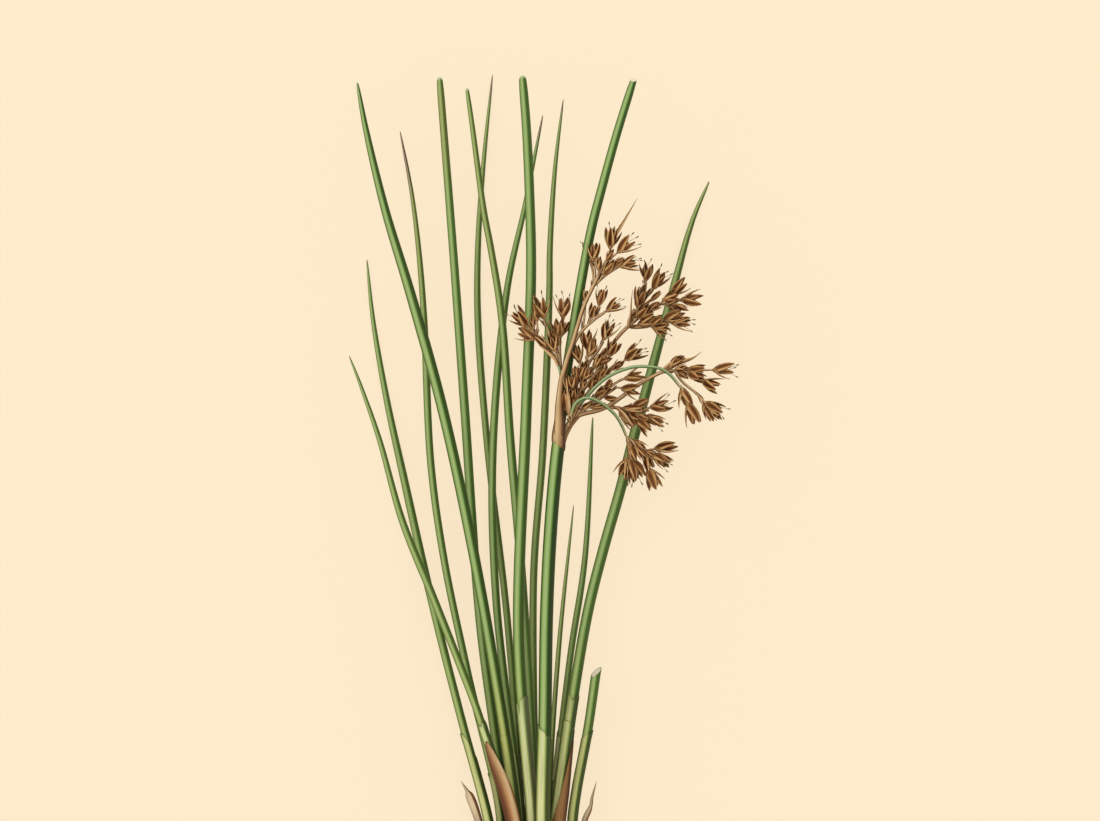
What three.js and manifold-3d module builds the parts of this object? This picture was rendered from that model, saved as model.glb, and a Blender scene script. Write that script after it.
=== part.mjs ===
// A small tuft of soft rush with one flowering stem, lifted with its rhizome and laid on a flat surface.
// Millimetres. The stems run along +Y from the foot to the tips, +X is to the right as seen from above,
// and +Z is up from the surface. The origin is on the surface, under the middle of the rhizome.
import * as THREE from "three";
import { mergeVertices } from "three/addons/utils/BufferGeometryUtils.js";
import Module from "manifold-3d";

const wasm = await Module();
wasm.setup();

// ---- Driving dimensions ----
const GAP = 0.3; // between a piece and the piece that holds it
const SCALE_GAP = 0.6; // between a sheath and the brown scale leaf that wraps it
const SHEATH_WALL = 0.6; // of a leaf sheath round a stem
const SHEATHED_LESS = 0.72; // how much thinner a stem is inside its sheath
const SHEATHED_LEAST = 0.38;
const SHEATH_STEPS = 3;
const MOUTH_SLANT = 1.2; // half of how much longer a sheath is on one side
const STEM_SIDES = 8;
const STEM_STEP = 22; // between a stem's rings, where it is neither sheathed nor tapering
const POINT_POWER = 0.42; // how a pointed tip draws out: 1 is a plain cone
const BLUNT_POWER = 0.6;
const BLUNT_SHARE = 0.62; // a blunt tip's radius over the full radius
const POINT_RINGS = [1.5, 5, 12, 25, 42]; // distances from a pointed tip
const BLUNT_RINGS = [0, 0.5, 16, 42]; // distances from a blunt tip
// A flower, from the foot of its cup. Its six tepals are drawn together as three lobes.
const LOBES = 3;
const LOBE = { radius: 1.35, height: 4.1 };
const NOTCH = { radius: 1.4, height: 1.9 };
const CUP_DEPTH = 1.3;
const SIDE_FLOWER_BACK = 2.4; // from the foot of a twig's end flower to the foot of the one beside it
const TWIG_RADIUS = 0.4;
const PEDICEL_RADIUS = 0.34;
const TWIG_SIDES = 5;
const GOLDEN_ANGLE = 2.39996;
const UP = new THREE.Vector3(0, 0, 1);

// ---- Stems ----
// radius is the full radius, and mouth is where the sheath ends, measured along the stem from its foot.
// lean is the direction of the sheath's longer side, in degrees from +X towards +Z.
const STEMS = [
  {
    name: "stem_01", radius: 0.95, tip: "point", taper: 52, mouth: 35, lean: 60,
    path: [[-4.8, 4, 15.4], [-6, 14, 15.2], [-14.2, 42, 14.2], [-24, 67, 12],
      [-35.8, 99, 9.8], [-45.1, 125.8, 8.5]],
  },
  {
    name: "stem_02", radius: 1.3, tip: "point", taper: 62, mouth: 31, lean: 100,
    path: [[-5, 4, 11], [-5, 14, 10.8], [-10.6, 52.8, 12.2], [-20.8, 98.4, 14.2],
      [-37.6, 164.2, 17.5], [-43.1, 191.3, 19]],
  },
  {
    name: "stem_03", radius: 1, tip: "point", taper: 60, mouth: 32.5, lean: 150, slant: 2.6,
    path: [[-10.2, 4, 12.2], [-11.4, 14, 11.4], [-22.1, 52.6, 6.6], [-33.1, 99, 2.1],
      [-37.3, 121.7, 0.74], [-40.9, 149, 0.7]],
  },
  {
    name: "stem_04", radius: 0.9, tip: "point", taper: 60, mouth: 22, lean: 200,
    path: [[-9.2, 4, 8], [-8.7, 14, 7.8], [-16.8, 50.4, 7.4], [-24.7, 92.6, 6.6],
      [-27.4, 136, 6], [-32.9, 179.8, 6]],
  },
  {
    name: "stem_05", radius: 1.1, tip: "blunt", taper: 80, mouth: 26, lean: 250,
    path: [[-8.4, 4, 4.1], [-7.8, 14, 4.2], [-13.7, 62.4, 5.8], [-17.5, 115, 7.6],
      [-20.2, 152, 9.2], [-23.4, 192.7, 11]],
  },
  {
    name: "stem_06", radius: 1.05, tip: "blunt", taper: 90, mouth: 24, lean: 320,
    path: [[0, 4, 7.4], [-0.2, 14, 7.2], [-3.4, 69.6, 9.6], [-7.2, 124.8, 12.5],
      [-11.3, 156, 15], [-16.5, 189.6, 18]],
  },
  {
    name: "stem_07", radius: 0.85, tip: "point", taper: 60, mouth: 22, lean: 240,
    path: [[-4.2, 4, 3.4], [-3.9, 14, 3.2], [-6.9, 60, 2.1], [-12.1, 105, 1.4],
      [-14.5, 142, 1.3], [-10.3, 193.2, 1]],
  },
  {
    name: "stem_08", radius: 1.35, tip: "blunt", taper: 90, mouth: 40.5, lean: 35,
    path: [[-1.1, 4, 12.6], [-1.1, 14, 12.7], [-4.4, 57.6, 14.6], [-2.6, 111.6, 17.5],
      [-1.4, 146.4, 20], [-3.5, 193, 23.5]],
  },
  {
    name: "stem_09", radius: 0.95, tip: "point", taper: 60, mouth: 28, lean: 180,
    path: [[-3.9, 4, 7.2], [-3.8, 14, 6.9], [-9.8, 67.2, 6.2], [-10.6, 103, 6.2],
      [-7.2, 141.6, 7.5], [1.4, 183.6, 10.5]],
  },
  {
    name: "stem_10", radius: 0.9, tip: "point", taper: 60, mouth: 23, lean: 270,
    path: [[-0.3, 4, 3.4], [-0.3, 14, 3.4], [-0.8, 73, 5.4], [1.4, 103, 6.5],
      [3.2, 140, 8.4], [6.5, 187.4, 12]],
  },
  {
    name: "stem_11", radius: 0.6, tip: "point", taper: 36, mouth: 20, lean: 20,
    path: [[3.6, 4, 6.8], [3, 14, 6.4], [3.4, 28.8, 6.6], [5.3, 57.4, 7], [8.6, 90, 7.2]],
  },
  {
    name: "stem_12", radius: 0.75, tip: "point", taper: 45, mouth: 33, lean: 300,
    path: [[3.8, 4, 3.4], [3.7, 14, 3.2], [7.9, 52.8, 3], [11.5, 77, 2.6], [13.4, 111.1, 2]],
  },
  {
    name: "stem_13", radius: 1.3, tip: "point", taper: 60, mouth: 41.5, lean: 90,
    path: [[3.4, 4, 11.4], [3.9, 14, 11.1], [12.7, 63.6, 9.2], [23.7, 107, 5.6],
      [33.6, 145.4, 1.1], [41.5, 167.8, 0.7]],
  },
  {
    name: "cut_stem", radius: 1.15, tip: "cut", taper: 30, mouth: 32.5, lean: 0,
    path: [[8.4, 4, 8], [8.6, 14, 8.4], [11.5, 28.3, 8.8], [14.2, 49.7, 9.2]],
  },
  {
    name: "flowering_stem", radius: 1.6, tip: "flat", taper: 30, mouth: 33.4, lean: 180, slant: 1.8,
    path: [[1.8, 4, 16], [1.4, 14, 15.8], [1.8, 38, 17], [2.5, 63.6, 19], [5.2, 105.4, 22.6]],
  },
];
const CUT_SLANT = 1.15; // how much higher one side of the cut stem's face is, over its radius

// The bract that carries on from the flowering stem, and the brown sheath round its foot.
const BRACT = {
  name: "bract", radius: 1.2, tip: "blunt", taper: 90, mouth: 15,
  path: [[5.25, 105.8, 22.64], [6.5, 117.6, 23.8], [9.8, 138.7, 26.3], [15.1, 165.6, 30], [19.1, 179, 32],
    [23.3, 192, 34]],
};
const BRACT_SHEATH = { name: "bract_sheath", foot: 0.2, side: 3, tip: 15, lean: 130 };

// Brown scale leaves that wrap a sheathed stem. side and tip are distances along it, lean as for a sheath.
const WRAPPED_SCALES = [
  { name: "scale_leaf_01", round: "stem_01", side: 9, tip: 30, lean: 115 },
  { name: "scale_leaf_02", round: "stem_13", side: 7, tip: 30, lean: 5 },
];

// Withered scale leaves that stand away from the tuft.
const LOOSE_SCALES = [
  { name: "scale_leaf_03", width: 3, thickness: 0.65,
    path: [[-12.6, 3.4, 6.8], [-13.6, 9, 7.4], [-15.2, 16.4, 8.4], [-18.4, 23.8, 9]] },
  { name: "scale_leaf_04", width: 2.4, thickness: 0.65,
    path: [[9.8, 2.6, 4.4], [11.2, 9.5, 4.8], [13, 16, 5.2], [14.2, 23.6, 6.2]] },
];
const ARCH = 0.7; // how high a strip is arched across, over half its width

// Green stalks of the panicle's two bending sprays.
const PEDUNCLES = [
  { name: "peduncle_far_right", radii: [0.62, 0.5],
    path: [[7.3, 109, 24.6], [8.2, 112.6, 27.4], [12.2, 116.4, 30.2], [17.7, 121, 31.8],
      [22.6, 122.9, 31.6], [26.4, 123.4, 30.6], [29.9, 122.6, 28.6], [32.4, 121, 26], [34.2, 119.2, 24]] },
  { name: "peduncle_low", radii: [0.6, 0.5],
    path: [[8, 110.6, 23.6], [9.2, 113.6, 25.2], [10.6, 115.2, 26.8], [12.8, 115.7, 27.8],
      [16.6, 114.2, 27], [19.7, 110.6, 22.4], [21.5, 106.6, 18]] },
];

// The panicle's sprays. Each is made of stalks, thick at their feet and thin at their ends, and their twigs.
// A twig is the foot of its last flower, x, y and z, that flower's direction in degrees from +X towards +Y,
// and on which sides of the twig (L or R) it carries more flowers.
const BRACTEOLE = { width: 1.1, thickness: 0.6 };
const SPRAYS = [
  {
    name: "spray_main",
    stalks: [
      {
        radii: [1.3, 0.4],
        path: [[5.1, 106.2, 25.8], [5.9, 119, 27.4], [8.6, 129.8, 28.7], [11.8, 138.1, 29.8],
          [15.4, 146.4, 30.4], [17.4, 150, 30.6]],
        twigs: [[15.8, 145.6, 29, 40, "R"], [19.6, 146.6, 31, 8, "L"], [15.2, 149.8, 30.8, 100, ""],
          [20, 150.2, 29.6, 32, "R"], [17.4, 152.2, 31.2, 80, "R"]],
      },
      {
        radii: [0.42, 0.36],
        path: [[8.8, 130.2, 28.6], [11.6, 132.4, 27.6], [13.6, 135.2, 27]],
        twigs: [[11.7, 134, 28.4, 75, ""], [16, 136.4, 26.4, 20, "R"], [15, 138.6, 27.6, 75, "R"]],
      },
      {
        radii: [0.5, 0.36],
        path: [[6.2, 121.2, 27.4], [4.8, 123.6, 27.4], [3.6, 126, 27], [0.6, 128.6, 27],
          [-0.8, 130.4, 27.2]],
        twigs: [[4.6, 128.9, 28.4, 88, "L"], [2.7, 127, 25.8, 130, "L"], [-0.8, 129.8, 27.4, 176, "R"],
          [-2.4, 132.7, 26.4, 150, "L"]],
      },
      {
        radii: [0.4, 0.36],
        path: [[4.2, 124.8, 27.2], [4.4, 129.6, 26.2], [4, 132, 26.4]],
        twigs: [[6, 134.7, 26.8, 88, ""], [1.8, 135.1, 27.6, 105, "L"]],
      },
    ],
    bracteole: { path: [[17.2, 151, 31.2], [20.6, 157.6, 31.8], [24, 163.4, 31.8]], ...BRACTEOLE },
  },
  {
    name: "spray_upper_right",
    stalks: [
      {
        radii: [0.5, 0.42],
        path: [[5.6, 110, 20.8], [9.8, 116, 19.2], [14, 121.4, 19], [17.7, 128.6, 20], [22.2, 133.4, 21]],
        twigs: [],
      },
      {
        radii: [0.42, 0.36],
        path: [[21.4, 132.8, 20.9], [22.8, 136.2, 21.6], [25, 139.6, 22]],
        twigs: [[24.7, 135, 23, 32, "R"], [24, 138.1, 22.4, 80, "L"], [26.5, 143.4, 23, 85, ""],
          [27.7, 141.6, 21.2, 52, "R"]],
      },
      {
        radii: [0.42, 0.36],
        path: [[21.8, 133, 20.9], [25, 134.8, 22.4], [29.4, 137, 23.2], [31.6, 138.6, 23.4]],
        twigs: [[30.5, 138.5, 22.4, 22, "L"], [33.4, 141.1, 24.2, 42, ""], [34.8, 139.2, 22.8, 5, "R"]],
      },
      {
        radii: [0.42, 0.36],
        path: [[21.6, 132.8, 20.9], [25.4, 133, 20.4], [29.6, 133.8, 20.6]],
        twigs: [[27.4, 133.1, 20, 6, "R"], [31.2, 133, 22, -4, "R"], [32.9, 134.6, 20.6, 8, ""]],
      },
    ],
  },
  {
    name: "spray_centre",
    stalks: [
      {
        radii: [0.6, 0.36],
        path: [[7.7, 109, 22.1], [9.4, 113.4, 22.8], [10.8, 119, 25.4], [13, 125.4, 26.6],
          [15.6, 128.4, 26.8]],
        twigs: [[10.8, 116.2, 24, 68, "R"], [9.8, 119.8, 28.2, 84, "R"], [13.2, 120.5, 26, 60, "L"],
          [10.7, 123.9, 28.6, 91, "R"], [12.2, 127.2, 26, 78, "R"], [16, 129.6, 27.4, 74, "L"]],
      },
      {
        radii: [0.5, 0.36],
        path: [[9.6, 112.8, 22.8], [13, 117, 24.2], [16.6, 120.2, 25], [19.4, 123, 25.4]],
        twigs: [[14.2, 115.7, 24.6, 30, "R"], [15.6, 119.3, 27.4, 46, "R"], [20.4, 118.4, 25.2, -28, ""],
          [21, 120, 27, 8, "L"], [17.2, 125.4, 27.2, 52, "R"], [18.2, 122.4, 24.6, 30, "R"],
          [21.1, 124.9, 26, 56, "R"]],
      },
    ],
  },
  {
    name: "spray_right",
    stalks: [
      {
        radii: [0.6, 0.4],
        path: [[6.6, 107, 20.8], [9, 110.2, 19.6], [15.4, 112.8, 20.8], [19.7, 115.2, 21.8],
          [23.5, 118.1, 22],
          [29.5, 121.7, 22.4], [33.6, 122.2, 22.4], [38, 121.6, 22]],
        twigs: [[31.7, 123.4, 23, 28, ""], [36.2, 122, 23.4, -4, "R"], [39.5, 119.5, 21.2, -30, "R"],
          [42.4, 121.9, 22.6, 25, "L"]],
      },
      {
        radii: [0.42, 0.36],
        path: [[16.4, 113.2, 21.3], [19.6, 113, 20.6], [23, 112.4, 19.6]],
        twigs: [[21.6, 112.8, 21.2, -56, ""], [23.8, 113.2, 21, 12, ""], [25, 111, 19, -28, "R"],
          [27.2, 112.8, 19.8, 25, "L"]],
      },
      {
        radii: [0.4, 0.36],
        path: [[33, 122.1, 22.4], [35.2, 119, 21.8], [36.4, 117, 21]],
        twigs: [[35.2, 118, 20.4, -88, ""], [36.6, 114.7, 21.4, -68, "L"], [40.4, 114.6, 19.8, -36, "R"]],
      },
    ],
    bracteole: { path: [[32, 123, 22.8], [35.6, 125.4, 24.4], [39.4, 126.8, 25.2]], ...BRACTEOLE },
  },
  {
    name: "spray_low",
    stalks: [
      {
        radii: [0.5, 0.36],
        path: [[21.9, 105.8, 17.4], [22.6, 103.4, 16], [24.4, 101, 15]],
        twigs: [[21.9, 105.2, 15.4, -64, "R"], [24.7, 104.6, 17.4, -20, "L"], [28.2, 102, 15.4, 15, "R"],
          [21.6, 100.8, 14.4, -122, ""], [22.7, 100.3, 16.4, -75, "L"], [27, 98.4, 14.4, -65, ""]],
      },
    ],
  },
];

// The rhizome: short branches that run across the tuft, a swelling round each stem's foot, and trimmed roots.
const RHIZOME_BRANCHES = [
  { radius: 4.5, path: [[-11, 0.6, 5], [-4, -0.6, 4.1], [4, 0.4, 4.1], [9.6, 1.2, 5]] },
  { radius: 4.1, path: [[-10.6, 1.4, 10], [-4, 0.4, 11], [3, 0.8, 11.6], [7.4, 1.4, 9]] },
  { radius: 3.4, path: [[-6.4, 1, 14.6], [-2, 0.6, 14.2], [2.4, 1, 14.8]] },
];
const SWELLING = { across: 2.35, along: 3.3, centreY: 2.7 };
const SEAT_LENGTH = 9; // how far up a stem its hole in the rhizome is cleared
const ROOTS = { count: 13, radius: 0.62, tipRadius: 0.34, length: 17, spread: 12, lowest: 1.3 };

// ---- Colours ----
const finish = (color, roughness) => new THREE.MeshStandardMaterial({ color, roughness, metalness: 0 });
const STEM_GREEN = finish(0x5c9350, 0.5);
const SHEATH_GREEN = finish(0xb3bd6a, 0.6);
const SCALE_BROWN = finish(0xa5704a, 0.75);
const AXIS_TAN = finish(0xb58a5c, 0.75);
const FLOWER_BROWN = finish(0x7a4420, 0.75);
const RHIZOME_BROWN = finish(0x5b4030, 0.9);

// ---- Geometry ----
const point = ([x, y, z]) => new THREE.Vector3(x, y, z);
const routeOf = (path) => new THREE.CatmullRomCurve3(path.map(point), false, "centripetal");

// The world axis that a route is least aligned with, for twigs, which point every way.
function crossAxis(route) {
  const chord = route.getPoint(1).sub(route.getPoint(0));
  const shares = [chord.x, chord.y, chord.z].map(Math.abs);
  const least = shares.indexOf(Math.min(...shares));
  return new THREE.Vector3().setComponent(least, 1);
}

// Where a route is at a distance along it, and the two directions across it, up being the nearer to `upward`.
function frameAt(route, distance, upward = UP) {
  const share = THREE.MathUtils.clamp(distance / route.getLength(), 0, 1);
  const tangent = route.getTangentAt(share);
  const side = tangent.clone().cross(upward).normalize();
  return { at: route.getPointAt(share), tangent, side, up: side.clone().cross(tangent) };
}

function around(frame, angle, radius) {
  return frame.at.clone()
    .addScaledVector(frame.side, radius * Math.cos(angle))
    .addScaledVector(frame.up, radius * Math.sin(angle));
}

// Skins a row of equal rings into a closed body, flat at both ends, or drawn to `apex` at the far end.
function skin(rings, apex) {
  const sides = rings[0].length;
  const points = rings.flat();
  const faces = [];
  for (let j = 0; j + 1 < rings.length; j++)
    for (let i = 0; i < sides; i++) {
      const a = j * sides + i;
      const b = j * sides + ((i + 1) % sides);
      faces.push(a, b + sides, b, a, a + sides, b + sides);
    }
  for (let i = 1; i + 1 < sides; i++) faces.push(0, i, i + 1);
  const last = (rings.length - 1) * sides;
  if (apex) {
    points.push(apex);
    for (let i = 0; i < sides; i++) faces.push(last + ((i + 1) % sides), last + i, points.length - 1);
  } else {
    for (let i = 1; i + 1 < sides; i++) faces.push(last, last + i + 1, last + i);
  }
  return geometryOf(points, faces);
}

function geometryOf(points, faces) {
  const geometry = new THREE.BufferGeometry().setFromPoints(points);
  geometry.setIndex(faces);
  return geometry;
}

function ringAt(route, distance, radius, sides, upward) {
  const frame = frameAt(route, distance, upward);
  return Array.from({ length: sides }, (_, i) => around(frame, ((i + 0.5) * 2 * Math.PI) / sides, radius));
}

// A tube with flat ends, or with a short cone over its far end, for twigs, stalks and roots.
function taperedTube(path, radii, sides, steps, upward) {
  const route = routeOf(path);
  const length = route.getLength();
  const rings = [];
  for (let j = 0; j <= steps; j++) {
    const radius = THREE.MathUtils.lerp(radii[0], radii[1], j / steps);
    rings.push(ringAt(route, (length * j) / steps, radius, sides, upward ?? crossAxis(route)));
  }
  return skin(rings);
}

// ---- Stems and their sheaths ----
const sheathedRadius = (stem) => Math.max(SHEATHED_LEAST, stem.radius - SHEATHED_LESS);

function stemRadius(stem, distance, length) {
  if (distance < stem.mouth + 0.5) return sheathedRadius(stem);
  const fromTip = Math.min(1, (length - distance) / stem.taper);
  if (stem.tip === "point") return stem.radius * fromTip ** POINT_POWER;
  if (stem.tip !== "blunt") return stem.radius;
  const rounded = distance < length ? 1 : 0.6;
  return stem.radius * rounded * (BLUNT_SHARE + (1 - BLUNT_SHARE) * fromTip ** BLUNT_POWER);
}

function stemDistances(stem, length) {
  const sheathed = Array.from({ length: SHEATH_STEPS }, (_, j) => (stem.mouth * j) / SHEATH_STEPS);
  const free = stem.mouth + 1.2;
  const tipRings = { point: POINT_RINGS, blunt: BLUNT_RINGS }[stem.tip] ?? [0];
  const tapering = tipRings.map((d) => length - d).reverse().filter((d) => d > free + 1);
  const steps = Math.max(1, Math.round((tapering[0] - free) / STEM_STEP));
  const between = [];
  for (let j = 1; j < steps; j++) between.push(free + ((tapering[0] - free) * j) / steps);
  return [...sheathed, stem.mouth + 0.4, free, ...between, ...tapering];
}

function stemGeometry(stem) {
  const route = routeOf(stem.path);
  const length = route.getLength();
  const radiusAt = (distance) => stemRadius(stem, distance, length);
  const rings = stemDistances(stem, length).map((d) => ringAt(route, d, radiusAt(d), STEM_SIDES));
  if (stem.tip === "cut") slantCut(rings[rings.length - 1], frameAt(route, length), stem.radius);
  return skin(rings, stem.tip === "point" ? route.getPointAt(1) : undefined);
}

// Turns the face at a stem's end, so that its left side is cut back.
function slantCut(ring, frame, radius) {
  for (const p of ring) {
    const across = p.clone().sub(frame.at).dot(frame.side);
    p.addScaledVector(frame.tangent, (across - radius) * CUT_SLANT);
  }
}

const sheathRadii = (stem) => {
  const inner = sheathedRadius(stem) + GAP;
  return { inner, outer: inner + SHEATH_WALL };
};

// A hollow sleeve along a route. reach(angle) is how far along the route its wall ends at that angle.
function sleeve(route, foot, reach, inner, outer, steps) {
  const sides = STEM_SIDES;
  const wall = (radius) => {
    const rows = [];
    for (let j = 0; j <= steps; j++)
      for (let i = 0; i < sides; i++) {
        const angle = ((i + 0.5) * 2 * Math.PI) / sides;
        const distance = foot + ((reach(angle) - foot) * j) / steps;
        rows.push(around(frameAt(route, distance), angle, radius));
      }
    return rows;
  };
  const points = [...wall(outer), ...wall(inner)];
  const half = sides * (steps + 1);
  const faces = [];
  const quad = (a, b, c, d) => faces.push(a, c, b, a, d, c);
  for (let i = 0; i < sides; i++) {
    const next = (i + 1) % sides;
    for (let j = 0; j < steps; j++) {
      const a = j * sides;
      quad(a + i, a + next, a + sides + next, a + sides + i);
      quad(half + a + next, half + a + i, half + a + sides + i, half + a + sides + next);
    }
    const top = steps * sides;
    quad(top + i, top + next, half + top + next, half + top + i);
    quad(next, i, half + i, half + next);
  }
  return geometryOf(points, faces);
}

const towards = (angle, lean) => Math.cos(angle - THREE.MathUtils.degToRad(lean));

function sheathGeometry(stem) {
  const { inner, outer } = sheathRadii(stem);
  const slant = stem.slant ?? MOUTH_SLANT;
  const reach = (angle) => stem.mouth + slant * (towards(angle, stem.lean) - 1);
  return sleeve(routeOf(stem.path), 0, reach, inner, outer, SHEATH_STEPS);
}

// A pointed, open-sided scale: low on one side and drawn out to its tip on the other.
function scaleReach(scale) {
  return (angle) => scale.side + (scale.tip - scale.side) * ((1 + towards(angle, scale.lean)) / 2) ** 3;
}

function wrappedScale(scale) {
  const stem = STEMS.find((s) => s.name === scale.round);
  const inner = sheathRadii(stem).outer + SCALE_GAP;
  return sleeve(routeOf(stem.path), 0, scaleReach(scale), inner, inner + SHEATH_WALL, 4);
}

function bractSheath() {
  const { inner, outer } = sheathRadii(BRACT);
  const reach = scaleReach(BRACT_SHEATH);
  return sleeve(routeOf(BRACT.path), BRACT_SHEATH.foot, reach, inner, outer, SHEATH_STEPS);
}

// A strip, arched across and pointed at its tip, for withered scales and bracteoles. With `clear` it is that
// much larger all round, to cut the hole that the strip stands in.
function archedBlade({ path, width, thickness }, steps, clear = 0) {
  const route = routeOf(path);
  const rings = [];
  for (let j = 0; j <= steps; j++) {
    const share = j / steps;
    const half = (width / 2) * Math.max(0.28, Math.min(1, 1.5 * (1 - share)));
    const { at, side, up, tangent } = frameAt(route, route.getLength() * share);
    if (j === 0) at.addScaledVector(tangent, -clear);
    const strip = (u, lift) => at.clone().addScaledVector(side, u * (half + clear))
      .addScaledVector(up, lift + half * ARCH * (1 - u * u));
    rings.push([
      ...[1, 0, -1].map((u) => strip(u, thickness / 2 + clear)),
      ...[-1, 0, 1].map((u) => strip(u, -thickness / 2 - clear)),
    ]);
  }
  return skin(rings);
}

// ---- Solids, where pieces are joined or cut ----
function solidOf(geometry) {
  const bare = new THREE.BufferGeometry().setAttribute("position", geometry.getAttribute("position"));
  bare.setIndex(geometry.getIndex());
  const merged = mergeVertices(bare, 1e-5);
  return new wasm.Manifold(new wasm.Mesh({
    numProp: 3,
    vertProperties: merged.attributes.position.array,
    triVerts: new Uint32Array(merged.index.array),
  }));
}

function geometryFrom(solid) {
  const { numProp, vertProperties, triVerts } = solid.getMesh();
  if (numProp !== 3) throw new Error("a solid holds more than positions");
  return new THREE.BufferGeometry()
    .setAttribute("position", new THREE.BufferAttribute(new Float32Array(vertProperties), 3))
    .setIndex(new THREE.BufferAttribute(new Uint32Array(triVerts), 1));
}

const joined = (geometries) => geometryFrom(wasm.Manifold.union(geometries.map(solidOf)));

// ---- Flowers ----
// A stalk along `path` that opens, past its end, into a flower: a hollow cup drawn up into pointed lobes.
function stalkedFlower(path, steps, long) {
  const route = routeOf(path);
  const length = route.getLength();
  const axis = crossAxis(route);
  const points = [];
  for (let j = 0; j <= steps; j++) {
    const radius = THREE.MathUtils.lerp(TWIG_RADIUS, PEDICEL_RADIUS, j / steps);
    points.push(...ringAt(route, (length * j) / steps, radius, LOBES, axis));
  }
  const end = frameAt(route, length, axis);
  const place = (radius, height, angle) => around(end, angle, radius).addScaledVector(end.tangent, height);
  const turns = Array.from({ length: LOBES }, (_, i) => ((i + 0.5) * 2 * Math.PI) / LOBES);
  points.push(...turns.map((turn) => place(NOTCH.radius, NOTCH.height, turn)));
  points.push(...turns.map((turn) => place(LOBE.radius, LOBE.height * long, turn + Math.PI / LOBES)));
  points.push(place(0, CUP_DEPTH, 0));
  const centre = points.length - 1;
  const faces = [0, 1, 2];
  for (let j = 0; j <= steps; j++)
    for (let i = 0; i < LOBES; i++) {
      const a = LOBES * j + i;
      const b = LOBES * j + ((i + 1) % LOBES);
      faces.push(a, b + LOBES, b, a, a + LOBES, b + LOBES);
    }
  for (let i = 0; i < LOBES; i++) {
    const notch = LOBES * (steps + 1) + i;
    const next = LOBES * (steps + 1) + ((i + 1) % LOBES);
    const tip = notch + LOBES;
    faces.push(notch, tip, next, centre, tip, notch, centre, next, tip);
  }
  return geometryOf(points, faces);
}

// A twig with a flower at its end, and one on each of the given sides, a little way back.
function twigGeometries(foot, [x, y, z, degrees, others], number) {
  const end = new THREE.Vector3(x, y, z);
  const angle = THREE.MathUtils.degToRad(degrees);
  const rise = THREE.MathUtils.clamp((z - foot.at.z) * 0.2, -0.4, 0.4);
  const heading = new THREE.Vector3(Math.cos(angle), Math.sin(angle), rise).normalize();
  const reach = end.distanceTo(foot.at) * 0.35;
  const path = [
    foot.at.toArray(),
    end.clone().addScaledVector(heading, -reach).lerp(foot.at, 0.3).toArray(),
    end.toArray(),
  ];
  const made = [stalkedFlower(path, end.distanceTo(foot.at) > 4.5 ? 2 : 1, 1)];
  const route = routeOf(path);
  for (const other of others) {
    const out = UP.clone().cross(heading).normalize().multiplyScalar(other === "L" ? 1 : -1);
    out.applyAxisAngle(heading, 0.5 * Math.sin(number * GOLDEN_ANGLE));
    const outward = heading.clone().addScaledVector(out, 0.85).normalize();
    const share = Math.max(0.25, 1 - SIDE_FLOWER_BACK / route.getLength());
    const from = route.getPointAt(share);
    made.push(stalkedFlower([from.toArray(), from.clone().addScaledVector(outward, 1).toArray()], 1, 0.88));
  }
  return made;
}

function sprayGeometry({ stalks, bracteole }) {
  const pieces = [];
  for (const stalk of stalks) {
    const steps = Math.round((stalk.path.length - 1) * 1.5);
    pieces.push(taperedTube(stalk.path, stalk.radii, TWIG_SIDES, steps));
    const route = routeOf(stalk.path);
    stalk.twigs.forEach((twig, number) => {
      pieces.push(...twigGeometries(twigFoot(route, twig), twig, number));
    });
  }
  if (bracteole) pieces.push(archedBlade(bracteole, 2));
  return joined(pieces);
}

// Where a twig leaves its stalk: some way back from the point of the stalk nearest to the twig's end.
function twigFoot(route, [x, y, z]) {
  const end = new THREE.Vector3(x, y, z);
  const length = route.getLength();
  const shares = Array.from({ length: 41 }, (_, i) => i / 40);
  const away = shares.map((share) => route.getPointAt(share).distanceTo(end));
  const near = shares[away.indexOf(Math.min(...away))] * length;
  return frameAt(route, Math.max(0.06 * length, near - 0.8 * Math.min(...away) - 0.8), crossAxis(route));
}

// ---- Rhizome ----
function swellingAt([x, , z]) {
  const lump = new THREE.SphereGeometry(1, 6, 4);
  lump.deleteAttribute("normal");
  lump.deleteAttribute("uv");
  lump.scale(SWELLING.across, SWELLING.along, SWELLING.across);
  return lump.translate(x, SWELLING.centreY, z);
}

function knottyBranch({ radius, path }) {
  const route = routeOf(path);
  const length = route.getLength();
  const steps = 6;
  const rings = [];
  for (let j = 0; j <= steps; j++) {
    const end = Math.min(1, 0.55 + 2.2 * Math.min(j, steps - j) / steps);
    const ring = radius * end * (1 + 0.07 * Math.sin(j * GOLDEN_ANGLE));
    rings.push(ringAt(route, (length * j) / steps, ring, 8, new THREE.Vector3(0, 1, 0)));
  }
  return skin(rings);
}

function rootPath(number) {
  const across = (number + 0.5) / ROOTS.count - 0.5;
  const wander = Math.sin((number + 1) * GOLDEN_ANGLE);
  const layer = (number % 3) * 4.2 + 3.2;
  const length = ROOTS.length * (0.82 + 0.2 * Math.cos(number * GOLDEN_ANGLE));
  const foot = [across * 17, 0.5, layer];
  return [
    foot,
    [foot[0] + across * ROOTS.spread * 0.3, -length * 0.4, layer * 0.8 + 0.3],
    [foot[0] + across * ROOTS.spread * 0.7 + wander, -length * 0.75, layer * 0.42 + ROOTS.lowest * 0.8],
    [foot[0] + across * ROOTS.spread + wander * 1.6, -length - 3, ROOTS.lowest + 0.12 * layer],
  ];
}

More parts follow.
